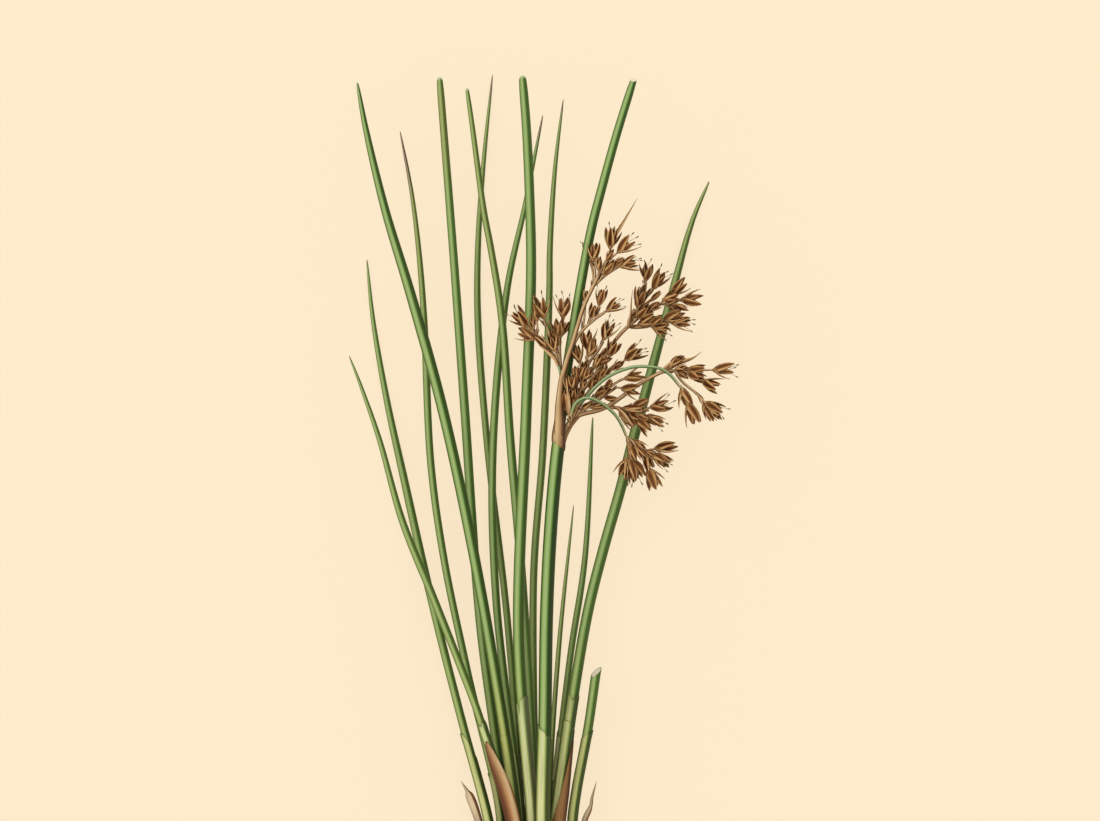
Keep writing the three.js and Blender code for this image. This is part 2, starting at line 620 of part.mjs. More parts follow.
function rhizomeGeometry() {
  const parts = RHIZOME_BRANCHES.map(knottyBranch);
  for (const stem of STEMS) parts.push(swellingAt(stem.path[0]));
  for (let i = 0; i < ROOTS.count; i++)
    parts.push(taperedTube(rootPath(i), [ROOTS.radius, ROOTS.tipRadius], 5, 3, UP));
  let body = wasm.Manifold.union(parts.map(solidOf));
  for (const stem of STEMS) body = body.subtract(solidOf(seatOf(stem)));
  for (const scale of LOOSE_SCALES) body = body.subtract(solidOf(archedBlade(scale, 4, 1.3 * SCALE_GAP)));
  const under = new THREE.BoxGeometry(80, 80, 20);
  under.translate(0, 0, -10);
  return geometryFrom(body.subtract(solidOf(bareBox(under))));
}

function bareBox(box) {
  box.deleteAttribute("normal");
  box.deleteAttribute("uv");
  return box;
}

// The hole that a stem and what wraps it stand in.
function seatOf(stem) {
  const scale = WRAPPED_SCALES.find((s) => s.round === stem.name);
  const outer = sheathRadii(stem).outer + (scale ? SCALE_GAP + SHEATH_WALL : 0) + GAP;
  const route = routeOf(stem.path);
  const foot = frameAt(route, 0);
  const rings = [0, 0.5, 1].map((share) => ringAt(route, share * SEAT_LENGTH, outer, STEM_SIDES));
  for (const p of rings[0]) p.addScaledVector(foot.tangent, -GAP);
  return skin(rings);
}

// ---- The tuft ----
const tuft = new THREE.Group();

function add(name, geometry, material) {
  const mesh = new THREE.Mesh(geometry, material);
  mesh.name = name;
  mesh.geometry.computeVertexNormals();
  tuft.add(mesh);
}

add("rhizome", rhizomeGeometry(), RHIZOME_BROWN);
for (const stem of STEMS) {
  add(stem.name, stemGeometry(stem), STEM_GREEN);
  add(stem.name.replace("stem", "sheath"), sheathGeometry(stem), SHEATH_GREEN);
}
for (const scale of WRAPPED_SCALES) add(scale.name, wrappedScale(scale), SCALE_BROWN);
for (const scale of LOOSE_SCALES) add(scale.name, archedBlade(scale, 4), SCALE_BROWN);
add(BRACT.name, stemGeometry(BRACT), STEM_GREEN);
add(BRACT_SHEATH.name, bractSheath(), AXIS_TAN);
for (const { name, path, radii } of PEDUNCLES) add(name, taperedTube(path, radii, 6, 8), STEM_GREEN);
for (const spray of SPRAYS) add(spray.name, sprayGeometry(spray), FLOWER_BROWN);

export default tuft;
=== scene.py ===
import math

import bpy
import numpy as np
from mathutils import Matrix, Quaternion, Vector


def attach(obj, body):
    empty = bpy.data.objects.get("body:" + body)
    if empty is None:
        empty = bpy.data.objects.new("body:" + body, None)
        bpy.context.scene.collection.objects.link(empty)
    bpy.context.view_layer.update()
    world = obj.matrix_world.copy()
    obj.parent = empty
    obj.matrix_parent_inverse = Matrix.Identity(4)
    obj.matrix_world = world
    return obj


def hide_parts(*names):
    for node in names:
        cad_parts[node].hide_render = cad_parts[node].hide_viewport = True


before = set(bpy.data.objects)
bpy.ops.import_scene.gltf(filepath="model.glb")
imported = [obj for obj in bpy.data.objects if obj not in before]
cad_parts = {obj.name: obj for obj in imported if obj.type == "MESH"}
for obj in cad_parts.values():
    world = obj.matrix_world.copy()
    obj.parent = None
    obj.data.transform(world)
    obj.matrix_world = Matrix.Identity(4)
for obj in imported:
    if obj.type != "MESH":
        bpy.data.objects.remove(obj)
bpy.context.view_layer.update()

MM = 0.001
GOLDEN_ANGLE = 2.39996
UP = np.array([0.0, 0.0, 1.0])
rng = np.random.default_rng(27)

# ---- Tables ----
# A stem's tip is drawn out to a point, blunt at a share of the full radius, cut aslant or flat. It narrows
# over its taper, by a power. cut is how far a cut face slopes across and up. dry is how far down its tip is
# brown. tone runs from blue-green (0) to olive (1), yellow is how far it yellows at its sheath, and deep is
# how dark the painted shade on its far side is. Its sheath's mouth is measured along it from its foot. lean
# is the direction of the sheath's longer side, in degrees from +X towards +Z, and slant is half of how much
# longer it is. A slit is a direction, a half width in degrees and a depth. step is how far the mouth stands
# out, edge is the width of its brown line, and fresh, veins and pale are how yellow, veined and pale the
# sheath is.
USUAL_STEM = dict(tip="point", taper=60, power=0.42, cut=None, dry=None, yellow=0.25, deep=0.0, slant=1.2,
                  slit=(0, 1, 0), ragged=0.15, step=0.17, edge=0.6, fresh=0.0, veins=0.0, pale=0.0)
STEMS = {
    "stem_01": dict(
        radius=0.95, taper=52, mouth=35, lean=60, tone=0.45, ragged=0.9, dry=1.5,
        path=[[-4.8, 4, 15.4], [-5.8, 14.4, 15.2], [-7.9, 22.4, 15], [-10.2, 28.6, 14.8], [-12.3, 34.6, 14.5],
              [-14.8, 42, 14.2], [-19.8, 55, 13.2], [-25.1, 68.3, 12], [-32.4, 86.4, 10.6],
              [-37.8, 105.6, 9.4], [-42.3, 118.6, 8.8], [-45.1, 125.8, 8.5]]),
    "stem_02": dict(
        radius=1.3, taper=62, power=0.34, mouth=31, lean=100, tone=0.1, yellow=0.9, deep=0.45,
        edge=0.03, fresh=1.0, step=0.05,
        path=[[-5, 4, 11], [-5, 14, 10.8], [-10.6, 52.8, 12.2], [-16.8, 86.4, 13.6], [-23.2, 115.2, 15],
              [-30.6, 141.6, 16.4], [-36.4, 160.8, 17.4], [-41, 180, 18.4], [-43.1, 191.3, 19]]),
    "stem_03": dict(
        radius=1, mouth=32.5, lean=150, slant=4, tone=0.3, dry=2, fresh=0.45,
        path=[[-10.2, 4, 12.2], [-11.6, 14, 11.4], [-18.1, 38.4, 8.2], [-23, 57.6, 6.2], [-27.6, 76.8, 4.2],
              [-31.9, 96, 2.3], [-36.1, 115.2, 1], [-39.4, 134.4, 0.72], [-40.9, 149, 0.7]]),
    "stem_04": dict(
        radius=0.9, mouth=22, lean=200, dry=17, edge=0.05, fresh=0.5, step=0.06,
        tone=[(0, 0.3), (110, 0.3), (150, 0.9)],
        path=[[-9.2, 4, 8], [-8.7, 14, 7.8], [-16.8, 50.4, 7.4], [-22.3, 76.8, 7], [-25.5, 100, 6.6],
              [-27.1, 134.4, 6.2], [-28.4, 151.2, 6.1], [-30.2, 165.6, 6], [-32.9, 179.8, 6]]),
    "stem_05": dict(
        radius=1.1, tip="blunt", share=0.74, taper=80, mouth=26, lean=250,
        tone=[(0, 0.25), (160, 0.1), (172, 0.9), (184, 1), (191, 0.2)],
        path=[[-8.4, 4, 4.1], [-7.8, 14, 4.2], [-13.7, 62.4, 5.8], [-17.5, 115, 7.6], [-20.2, 152, 9.2],
              [-23.4, 192.7, 11]]),
    "stem_06": dict(
        radius=1.05, tip="blunt", share=0.46, taper=90, mouth=24, lean=320,
        tone=[(0, 0.3), (110, 0.2), (150, 0.75), (190, 0.6)],
        path=[[0, 4, 7.4], [-0.2, 14, 7.2], [-3.4, 69.6, 9.6], [-6.4, 105.6, 11.4], [-8.4, 134.4, 13.4],
              [-11, 151.2, 14.7], [-12.8, 160.8, 15.5], [-15.4, 180, 17.2], [-16.8, 190, 18]]),
    "stem_07": dict(
        radius=0.85, mouth=22, lean=240, tone=0.5, dry=8,
        path=[[-4.2, 4, 3.4], [-3.9, 14, 3.2], [-6.9, 60, 2.1], [-12, 105, 1.4], [-14.2, 134.4, 1.3],
              [-14.2, 151.2, 1.3], [-13, 170.4, 1.1], [-10.7, 193.4, 1]]),
    "stem_08": dict(
        radius=1.35, tip="blunt", share=0.74, taper=90, mouth=40.5, lean=35, tone=0.1, slit=(120, 15, 3.8),
        deep=0.2, pale=0.1,
        path=[[-1.1, 4, 12.6], [-1.1, 14, 12.7], [-4.4, 57.6, 14.6], [-2.6, 111.6, 17.5], [-1.4, 146.4, 20],
              [-1.8, 165, 21.3], [-2.5, 180, 22.4], [-3.5, 193, 23.5]]),
    "stem_09": dict(
        radius=0.95, mouth=28, lean=180, tone=0.2, dry=7,
        path=[[-3.9, 4, 7.2], [-3.8, 14, 6.9], [-9.8, 67.2, 6.2], [-10.6, 103, 6.2], [-7.2, 141.6, 7.5],
              [-3.1, 160.8, 8.6], [-1.2, 170.4, 9.4], [1.4, 183.6, 10.5]]),
    "stem_10": dict(
        radius=0.9, mouth=23, lean=270, tone=0.55, dry=4.5,
        path=[[-0.3, 4, 3.4], [-0.3, 14, 3.4], [-0.8, 73, 5.4], [1.4, 103, 6.5], [3, 141.6, 8.5],
              [3.1, 151.2, 9.1], [4.3, 170.4, 10.5], [6.3, 187.4, 12]]),
    "stem_11": dict(
        radius=0.6, taper=36, mouth=20, lean=20, tone=0.75, dry=2.5,
        path=[[3.6, 4, 6.8], [3, 14, 6.4], [3.4, 28.8, 6.6], [5.4, 57.4, 7], [8.8, 90, 7.2]]),
    "stem_12": dict(
        radius=0.8, taper=45, power=0.36, mouth=33, lean=300, tone=0.3, dry=1,
        path=[[3.8, 4, 3.4], [3.7, 14, 3.2], [7.9, 52.8, 3], [11.5, 77, 2.6], [13.4, 111.1, 2]]),
    "stem_13": dict(
        radius=1.3, mouth=41.5, lean=90, slit=(88, 52, 2), dry=1, deep=0.2, veins=1.0, fresh=0.4,
        tone=[(0, 0.15), (130, 0.15), (165, 0.8)],
        path=[[3.4, 4, 11.4], [4.6, 14, 11.1], [6.2, 26.6, 10.7], [8.7, 44, 10], [12.3, 64.8, 9.1],
              [15.9, 79.2, 8.2], [20, 93.6, 7], [23.7, 108, 5.5], [29.5, 129.6, 2.9], [33.3, 144, 1.2],
              [37.4, 158.4, 0.8], [41.4, 167.8, 0.7]]),
    "cut_stem": dict(
        radius=1.15, tip="cut", mouth=32.5, lean=0, tone=0.15, cut=(0.95, 0.7), edge=0.03, fresh=0.7,
        step=0.08,
        path=[[8.4, 4, 8], [8.5, 14, 8.4], [9.5, 21.6, 8.6], [12.2, 36, 9], [14.35, 50.9, 9.2]]),
    "flowering_stem": dict(
        radius=1.6, tip="flat", mouth=33.4, lean=180, slant=1.8, tone=0.0, ragged=0.5, yellow=0.1, deep=0.75,
        path=[[1.8, 4, 16], [1.4, 14, 15.8], [1.9, 38, 17], [2.3, 64, 19], [3.1, 81.6, 20.6],
              [4.2, 96, 21.8], [5.2, 105.4, 22.6], [5.36, 107, 22.8]]),
    "bract": dict(
        radius=1.25, tip="blunt", share=0.74, taper=90, mouth=15, tone=0.0, yellow=0.0, deep=0.4,
        cut=(0.25, 0.3),
        path=[[5.25, 105.8, 22.64], [6.5, 117.6, 23.8], [9.8, 138.7, 26.3], [13, 156, 28.65],
              [15.45, 165.6, 30], [19.15, 179, 32], [23.2, 192, 34]]),
}
for stem in STEMS.values():
    for key, value in USUAL_STEM.items():
        stem.setdefault(key, value)
FINEST_RADIUS = 0.05
BLUNT_POWER = 0.6
BLUNT_DOME = 1.25  # how long a blunt tip's dome is, in radii of the tip
BLUNT_END = (4, 0.84)  # how far from its end a blunt stem narrows once more, and to which share
FLAT_END = (3, 0.86)  # the same for a flat one, inside the bract's sheath
PALE_CAP = 0.7  # how far down a blunt tip is pale
SECTION_STEP = 2.0
ROUND_TIP_SECTIONS = (14, 10, 7, 5, 3.4, 2.2, 1.4, 0.85, 0.5, 0.3, 0.15, 0.05, 0)  # before the end
FLAT_TIP_SECTIONS = (4, 3, 2, 1, 0)
YELLOW_REACH = 24  # how far up from its sheath a stem is yellowed
YELLOW_NODE = 5  # how far down from its end a flat one is, at the most
SHEATH_WALL = 0.14
SHEATH_ROOM = 0.18  # between a stem and its sheath's foot
THINNEST_FOOT = 1.28  # the radius of a thin stem's sheath at its foot
SCALE_WALL = 0.22
BLADE_THICKNESS = 0.2

# Brown scale leaves that wrap a sheathed stem: how far up it their low side and their tip reach.
WRAPPED_SCALES = {
    "scale_leaf_01": dict(round="stem_01", side=9, tip=30.5, lean=104, power=1.3, loose=0.45),
    "scale_leaf_02": dict(round="stem_13", side=7, tip=31, lean=18, power=2.4, loose=0.7),
}
# Withered ones that stand away at both sides: their half width by the distance from the tip, and their fold.
LOOSE_SCALES = {
    "scale_leaf_03": dict(
        halves=[(0, 0.03), (2, 0.32), (3.2, 0.5), (3.9, 1), (6, 1.1), (21, 0.7)], fold=0.3,
        path=[[-11.6, 3.4, 6.8], [-12.6, 9, 7.4], [-14.4, 15.4, 8.4], [-16.3, 20.4, 8.8], [-18.3, 23.8, 9]]),
    "scale_leaf_04": dict(
        halves=[(0, 0.05), (2, 0.2), (4.4, 0.36), (6, 0.42), (7.6, 0.7), (21, 0.8)], fold=0.45,
        path=[[9.8, 2.6, 4.4], [10.6, 9, 4.8], [11.5, 14.4, 5.2], [12.9, 17.6, 5.6], [13.2, 19.6, 5.8],
              [14.3, 23.6, 6.2]]),
}
PEDUNCLES = {
    "peduncle_far_right": dict(
        radii=(0.46, 0.36), bare=7,
        path=[[7.5, 109, 22.4], [8.8, 112.6, 24], [11.9, 116, 27.6], [14.3, 118.6, 30], [17.1, 120.8, 31.6],
              [20, 122.2, 32], [23.3, 123.1, 31.8], [26.6, 123.2, 30.8], [29.5, 122.7, 29.2],
              [31.8, 121.3, 26.8], [34.3, 118.4, 24]]),
    "peduncle_low": dict(
        radii=(0.43, 0.34), bare=1,
        path=[[8.2, 111.6, 25.8], [8.6, 112.9, 27.4], [9.5, 114.6, 28.8], [11.2, 115.6, 29.7],
              [12.9, 115.6, 29.9], [15.2, 114.6, 29], [17.1, 113.2, 27], [19, 111.3, 24], [20.4, 108.9, 20.8],
              [21.4, 106.6, 18]]),
}

# The panicle's axis, and its half width by the distance along it.
AXIS_PATH = [[5.2, 104.6, 22.6], [5.3, 107, 23.8], [5.35, 110, 25.3], [5.35, 113.8, 26.6], [5.9, 119.8, 27.5],
             [6.56, 122.4, 27.9], [7.49, 125.7, 28.3], [8.58, 129, 28.7], [9.83, 133.3, 29.1],
             [11.25, 137.7, 29.6], [13.3, 142.1, 30], [14.9, 145.3, 30.3], [17.4, 150, 30.6]]
AXIS_RADII = [(0, 0.8), (4, 1.32), (8, 1.12), (14, 0.8), (20, 0.68), (26, 0.56), (34, 0.5), (42, 0.45),
              (48, 0.32)]

# The panicle's sprays. A stalk is its radii, its path and its florets. A floret is its foot, its direction in
# degrees from +X towards +Y, its length, how far it is open (0 to 3) and whether its stamens show.
SPRAYS = {
    "spray_main": [
        ((1.3, 0.4), [[5.1, 106.2, 25.8], [5.9, 119, 27.4], [8.6, 129.8, 28.7], [11.8, 138.1, 29.8],
                      [15.4, 146.4, 30.4], [17.4, 150, 30.6]],
         [(17.5, 151.6, 31, 92, 5.1, 3, 1), (19.4, 150.6, 30.6, 42, 5.1, 3, 1),
          (14.7, 146.3, 30.8, 86, 3.3, 1, 0), (16.8, 148.6, 31.6, 76, 3, 1, 0),
          (18.4, 147.6, 30.6, 54, 2.8, 1, 0), (12.4, 149.6, 25.6, 112, 3.6, 1, 1)]),
        ((0.36, 0.3), [[13.6, 142.8, 29.6], [13.9, 145.6, 29.4], [13.5, 148, 29.6]],
         [(13.5, 148.4, 29.8, 76, 4.6, 2, 0)]),
        ((0.4, 0.32), [[13.4, 142.2, 29.8], [15.8, 144.6, 29.8], [18.2, 146.3, 30], [19.4, 147, 30.2]],
         [(16.1, 145.4, 31.2, 52, 4.4, 1, 0), (19.9, 147.2, 30.2, 4, 4.6, 3, 1)]),
        ((0.42, 0.34), [[8, 127, 28.3], [10.2, 131, 27.8], [11.8, 132.8, 27.6], [14.2, 134.8, 27.4],
                        [16.2, 136.2, 27]],
         [(12.8, 134.7, 28.2, 68, 3.8, 2, 0), (14.9, 137.9, 27.6, 82, 4.1, 2, 1),
          (16.7, 136.5, 26.8, 38, 4.1, 3, 1), (11.6, 138.2, 28.2, 88, 3.2, 1, 0)]),
        ((0.4, 0.32, 4.5), [[6, 119.8, 27.4], [5.5, 122.4, 27.3], [4.8, 124.6, 27.2], [4, 126, 27],
                            [2.4, 127.2, 26.8], [0.6, 128.8, 26.8], [-0.6, 130.4, 26.8], [-1, 132.2, 27]],
         [(-2.3, 132.9, 27.4, 142, 5, 3, 1), (-0.8, 132.7, 26, 108, 3, 1, 0),
          (-0.5, 129.8, 27.2, 168, 4.8, 2, 0), (-0.6, 131.2, 26.4, 140, 2.8, 1, 0),
          (2.2, 127.9, 27.6, 132, 3.9, 1, 0), (0, 134.2, 26.4, 100, 4, 1, 0),
          (4.4, 126.8, 28.4, 112, 4.8, 2, 0), (4.7, 128.8, 26.8, 100, 4, 1, 0)]),
        ((0.36, 0.3), [[5.9, 121.6, 27], [5.6, 124.6, 26.4], [5.5, 129, 25.8], [5.9, 132.6, 25.8],
                       [6.2, 134.6, 26]],
         [(5.3, 130.4, 27.2, 98, 4.8, 2, 0), (6.1, 131, 25.4, 64, 3.2, 1, 0),
          (6.2, 135, 26.2, 90, 5.1, 3, 1)]),
        ((0.34, 0.28), [[3.7, 126.2, 27], [3.1, 128, 26.4], [2.9, 131, 25.8], [2.1, 134, 26]],
         [(1.6, 134.8, 26.8, 92, 5.4, 3, 1)]),
    ],
    "spray_upper_right": [
        ((0.5, 0.44), [[5.6, 110, 20.8], [9.8, 116, 19.2], [14, 121.4, 19], [17.4, 127.6, 19.8],
                       [20, 131, 20.6], [21.8, 132.8, 21]],
         []),
        ((0.42, 0.36), [[21.6, 132.6, 21], [22.4, 135, 21.4], [23.4, 137, 21.8]],
         [(24.1, 137.5, 23, 82, 5.6, 3, 1)]),
        ((0.36, 0.28), [[22, 133, 21], [23.8, 136.4, 20.4], [25.4, 139.6, 20.6], [26, 142, 21],
                        [26.1, 143.4, 21.4]],
         [(26.1, 143.9, 22, 82, 4.4, 3, 1)]),
        ((0.34, 0.28), [[24.8, 138.2, 20.6], [26.4, 140, 21], [27.4, 141.4, 21.4]],
         [(27.8, 142, 22.2, 56, 5.1, 2, 1)]),
        ((0.42, 0.32), [[21.8, 132.8, 21], [24, 134.6, 22.2], [27, 137, 22.4], [30, 138.4, 22.6],
                        [32.4, 139.4, 22.4], [34.4, 139.2, 22]],
         [(24, 135, 24, 48, 5, 1, 0), (24.2, 134.9, 22.8, 12, 4.4, 0, 0), (26.6, 136.7, 23.6, 22, 3.9, 1, 0),
          (27.3, 139, 21.4, 22, 3.2, 0, 0), (30.2, 138.6, 24, 44, 4.8, 1, 0),
          (32.2, 140.5, 23.4, 34, 5.1, 2, 0), (31, 138.6, 25.2, 12, 3.2, 1, 0),
          (34.7, 139.2, 22.8, 12, 5.2, 3, 0), (33, 138, 23.4, -14, 3.4, 0, 0),
          (31.4, 137.8, 22, -28, 3.2, 1, 1)]),
        ((0.42, 0.32), [[21.6, 132.7, 21], [24.6, 132.6, 20.8], [27.4, 133, 20.6], [30.4, 134, 20.8]],
         [(24.3, 133.3, 22.2, 28, 4.7, 1, 0), (27, 133.5, 22.6, 30, 3.9, 1, 0),
          (27.4, 133, 21.6, 2, 4.4, 0, 0), (27.7, 132.7, 20.2, -36, 4.2, 2, 1),
          (30.6, 134.5, 22.4, 12, 5.4, 1, 0), (32.2, 133.8, 21, -14, 4.8, 2, 1)]),
    ],
    "spray_centre": [
        ((0.55, 0.34), [[7.7, 109, 22.1], [9.4, 113.4, 22.8], [10.8, 119, 25], [12.4, 124, 25.6],
                        [14.6, 127, 25.8], [15.8, 129.2, 26.6]],
         [(7.4, 112.8, 25.8, 91, 5.4, 0, 0), (8.4, 111.8, 24.6, 88, 4.8, 0, 0),
          (7.9, 117.3, 26.8, 92, 4.6, 0, 0), (8.6, 118, 27.6, 78, 4.2, 1, 0), (9.6, 119, 26.2, 88, 4.7, 0, 0),
          (8.6, 115.4, 26.6, 70, 3.9, 1, 0), (9.7, 114.6, 25.2, 58, 4, 1, 0),
          (10.8, 118.1, 28.2, 62, 3.2, 1, 0), (10.6, 120, 26.6, 76, 4.9, 1, 0), (11.3, 120, 28, 50, 4, 1, 0),
          (10.2, 124.2, 26, 95, 4.5, 2, 0), (12.4, 125.8, 27.6, 57, 4.6, 1, 0),
          (12, 127.4, 26.2, 86, 4.9, 3, 0), (13.7, 122.9, 27.8, 86, 4.1, 0, 0),
          (14.5, 123.7, 26.6, 38, 3.6, 1, 0), (15, 125.6, 25.4, 80, 2.9, 0, 0),
          (16, 129.8, 27.2, 66, 5, 3, 1)]),
        ((0.45, 0.34), [[7.8, 109.4, 21.6], [9.2, 112.2, 22.8], [12, 116.4, 24.2], [15, 119.6, 24.8],
                        [17.4, 122.6, 25], [19.8, 124.3, 25.2]],
         [(12.7, 118, 27, 54, 4, 1, 0), (14.2, 119.9, 26.6, 68, 3.7, 0, 0),
          (15.4, 120.8, 27.4, 62, 3.7, 2, 0), (17.4, 125.8, 26.4, 54, 4.4, 3, 0),
          (21.2, 124.9, 26, 44, 5, 3, 1), (18.2, 122.5, 27, 42, 3.4, 2, 0)]),
        ((0.4, 0.3), [[7.8, 109.2, 21], [9.6, 111.8, 21.6], [12.4, 114.4, 23], [16, 117, 23.6],
                      [19, 119.4, 24], [20.6, 120.2, 24.4]],
         [(14, 116.2, 24.8, 14, 4.3, 1, 0), (16.2, 118, 24.2, 32, 2.8, 1, 0),
          (21.2, 120.3, 25, 10, 4.8, 2, 0), (10.8, 113.2, 24, 14, 3.8, 0, 0)]),
        ((0.36, 0.3), [[8.4, 110.2, 20.8], [11.4, 112.8, 21.4], [15.6, 115.8, 22.2], [19, 118.2, 22.8]],
         [(20.3, 118, 23.2, -38, 4.8, 3, 0), (16.2, 115.8, 22.8, -30, 3, 1, 0),
          (13, 113.4, 22.4, 8, 3.8, 0, 0)]),
    ],
    "spray_right": [
        ((0.6, 0.4), [[6.6, 107, 21.4], [7.4, 109.3, 21.2], [9.1, 111.1, 21], [11.5, 112, 21],
                      [13.9, 112.5, 21.2], [16.4, 113.4, 21.6], [19.4, 115.3, 21.8], [23.5, 118.3, 22],
                      [27.4, 120.7, 22.4], [31, 122.2, 22.6], [33.4, 122.2, 22.6], [36, 121.9, 22.6]],
         [(31.6, 123, 23.4, 46, 4.2, 1, 0), (33.2, 122.5, 24, 20, 3.2, 1, 0),
          (33.4, 121.9, 23, -26, 3.2, 0, 0), (36.1, 122.3, 23.6, 5, 4.5, 1, 0),
          (36.2, 121.7, 24.4, -34, 4.7, 1, 0), (39.6, 119.8, 23, -28, 4.8, 3, 0),
          (42.3, 122.4, 22.6, 0, 5, 3, 1), (32.6, 123.4, 22.2, 30, 3.4, 0, 0)]),
        ((0.45, 0.34), [[16.4, 113.4, 21.3], [18.6, 113.4, 20.8], [21.4, 113, 20.6], [24.6, 112.6, 20.2],
                        [26.8, 112.8, 20]],
         [(20, 112.5, 20.6, -52, 5.4, 1, 0), (20.8, 113.2, 21.8, 0, 4.8, 0, 0), (23, 113.9, 21.2, 8, 4, 1, 0),
          (22.3, 112, 21.6, -42, 3.4, 1, 0), (27.3, 113.4, 21, 4, 5, 3, 1),
          (26.3, 111.3, 20.4, -10, 4.6, 1, 1), (24, 110.9, 21.6, -46, 4.8, 2, 0),
          (24.2, 111.6, 22.4, -12, 3.2, 1, 0)]),
        ((0.36, 0.3), [[33, 121.9, 22.4], [35, 119.4, 21.8], [38, 117, 21.2], [39.8, 115.4, 21]],
         [(40.5, 114.6, 21.6, -20, 4.9, 2, 1), (40, 114.4, 20.6, -74, 4.5, 1, 0),
          (41.4, 113.3, 22, -50, 3.6, 1, 0)]),
        ((0.38, 0.3), [[34.3, 118.8, 23.8], [35.4, 116.6, 22.2], [36.1, 114.8, 21.8]],
         [(34.7, 118, 22.8, -76, 5, 2, 0), (36.2, 114.5, 22, -70, 5.6, 2, 0)]),
    ],
    "spray_low": [
        ((0.45, 0.34), [[21.4, 106.8, 18], [21.9, 104.8, 17], [22, 102.6, 16], [22, 101.4, 15.6]],
         [(22, 105, 17.4, -74, 4.6, 0, 0), (23, 105.4, 16.6, -30, 4, 1, 0),
          (23.6, 104.2, 17.8, -64, 3.6, 1, 0), (21.8, 101.2, 15.4, -124, 5, 2, 0),
          (22.4, 100.8, 16.4, -80, 5.4, 1, 1), (23.2, 100.8, 15.6, -58, 4.7, 1, 0)]),
        ((0.4, 0.3), [[21.7, 105.8, 17.5], [22.6, 105.1, 16.8], [24.6, 104, 15.8], [26.4, 103, 15.4],
                      [28, 102.8, 15.4]],
         [(26, 103, 16.4, -6, 2.8, 1, 0), (25.8, 102.7, 15.2, -72, 4.8, 2, 0),
          (28.4, 103.5, 16.2, 3, 5.4, 1, 0), (28.6, 102.2, 15.2, -42, 4.2, 1, 0),
          (28, 102, 16.6, -54, 4.4, 1, 1), (26.7, 98.7, 15, -66, 5.4, 3, 0)]),
    ],
}
FLORET_LENGTH = 4.15
BRACTEOLES = {  # each one's path, and its half width by the distance from its tip
    "bracteole_top": ([[18.6, 154.2, 31.4], [20.6, 157.6, 31.8], [24, 163.4, 31.8]],
                      [(0, 0.04), (4, 0.22), (8, 0.4), (11, 0.44)]),
    "bracteole_right": ([[32, 123.4, 23], [35.6, 124.6, 24.4], [37.6, 125.4, 25], [39.5, 126.8, 25.2]],
                        [(0, 0.04), (2, 0.16), (4, 0.4), (8, 0.45)]),
    "bracteole_sharp": ([[30, 122.3, 23.6], [32, 124, 24.2], [34, 126, 24.4]],
                        [(0, 0.04), (2.5, 0.4), (5.5, 0.35)]),
    "bracteole_node": ([[7.7, 111, 22.4], [7.75, 112, 25.2], [7.5, 113.6, 27.4], [7.35, 115, 28.6],
                        [7.2, 117.4, 29.2], [7.1, 120, 28.9]],
                       [(0, 0.06), (3.5, 0.3), (6, 0.6), (8.5, 0.7), (11, 0.4), (13, 0.1)]),
    "bracteole_under": ([[5.9, 103.6, 20.9], [7, 107.2, 20.8], [8.4, 109.4, 20.2], [10.3, 111.1, 19.8]],
                        [(0, 0.06), (2, 0.4), (4.5, 0.62), (8, 0.6)]),
    "bracteole_left": ([[5, 123.4, 27.8], [4.2, 125.2, 28], [2.6, 126.8, 28], [0.4, 128.4, 27.6]],
                       [(0, 0.06), (2, 0.35), (4, 0.55), (6.5, 0.35)]),
    "bracteole_fork": ([[21.8, 132.6, 21.8], [22.4, 135.4, 22.6], [22.6, 138.6, 23], [22.9, 141.6, 22.6]],
                       [(0, 0.05), (3, 0.16), (6, 0.26), (9, 0.34)]),
    "bracteole_low": ([[18.2, 113.9, 21.6], [20.4, 112.2, 23], [23.3, 108.4, 22.6]],
                      [(0, 0.05), (3, 0.42), (5, 0.45), (7, 0.3)]),
}
# These two get their painted light on their right side and their painted shade on the left.
RIGHT_LIT = ("bracteole_node", "bracteole_top")  # these are paler on their right side
DARK_BRACTEOLES = ("bracteole_top", "bracteole_right")

RHIZOME_BRANCHES = [
    (4.5, [[-11, 0.6, 5], [-4, -0.6, 4.1], [4, 0.4, 4.1], [9.6, 1.2, 5]]),
    (4.1, [[-10.6, 1.4, 10], [-4, 0.4, 11], [3, 0.8, 11.6], [7.4, 1.4, 9]]),
    (3.4, [[-6.4, 1, 14.6], [-2, 0.6, 14.2], [2.4, 1, 14.8]]),
]
ROOT_COUNT = 13
ROOT_LENGTH = 17
ROOT_SPREAD = 12
ROOT_RADII = (0.62, 0.34)
ROOTLETS = 5  # on each root
ROOTLET_RADII = (0.16, 0.06)
LOWEST_BEND = 0.3  # of a rootlet's middle line
KNOB_DEPTH = 1.4  # over the noise's full range
KNOBS_PER_METRE = 420.0  # one in about 2.4 mm
FUSED_VOXEL = 0.32


# ---- Routes ----
def unit(v):
    return v / np.maximum(np.linalg.norm(v, axis=-1, keepdims=True), 1e-9)


ROUTE_STEPS = 48  # between two of its points


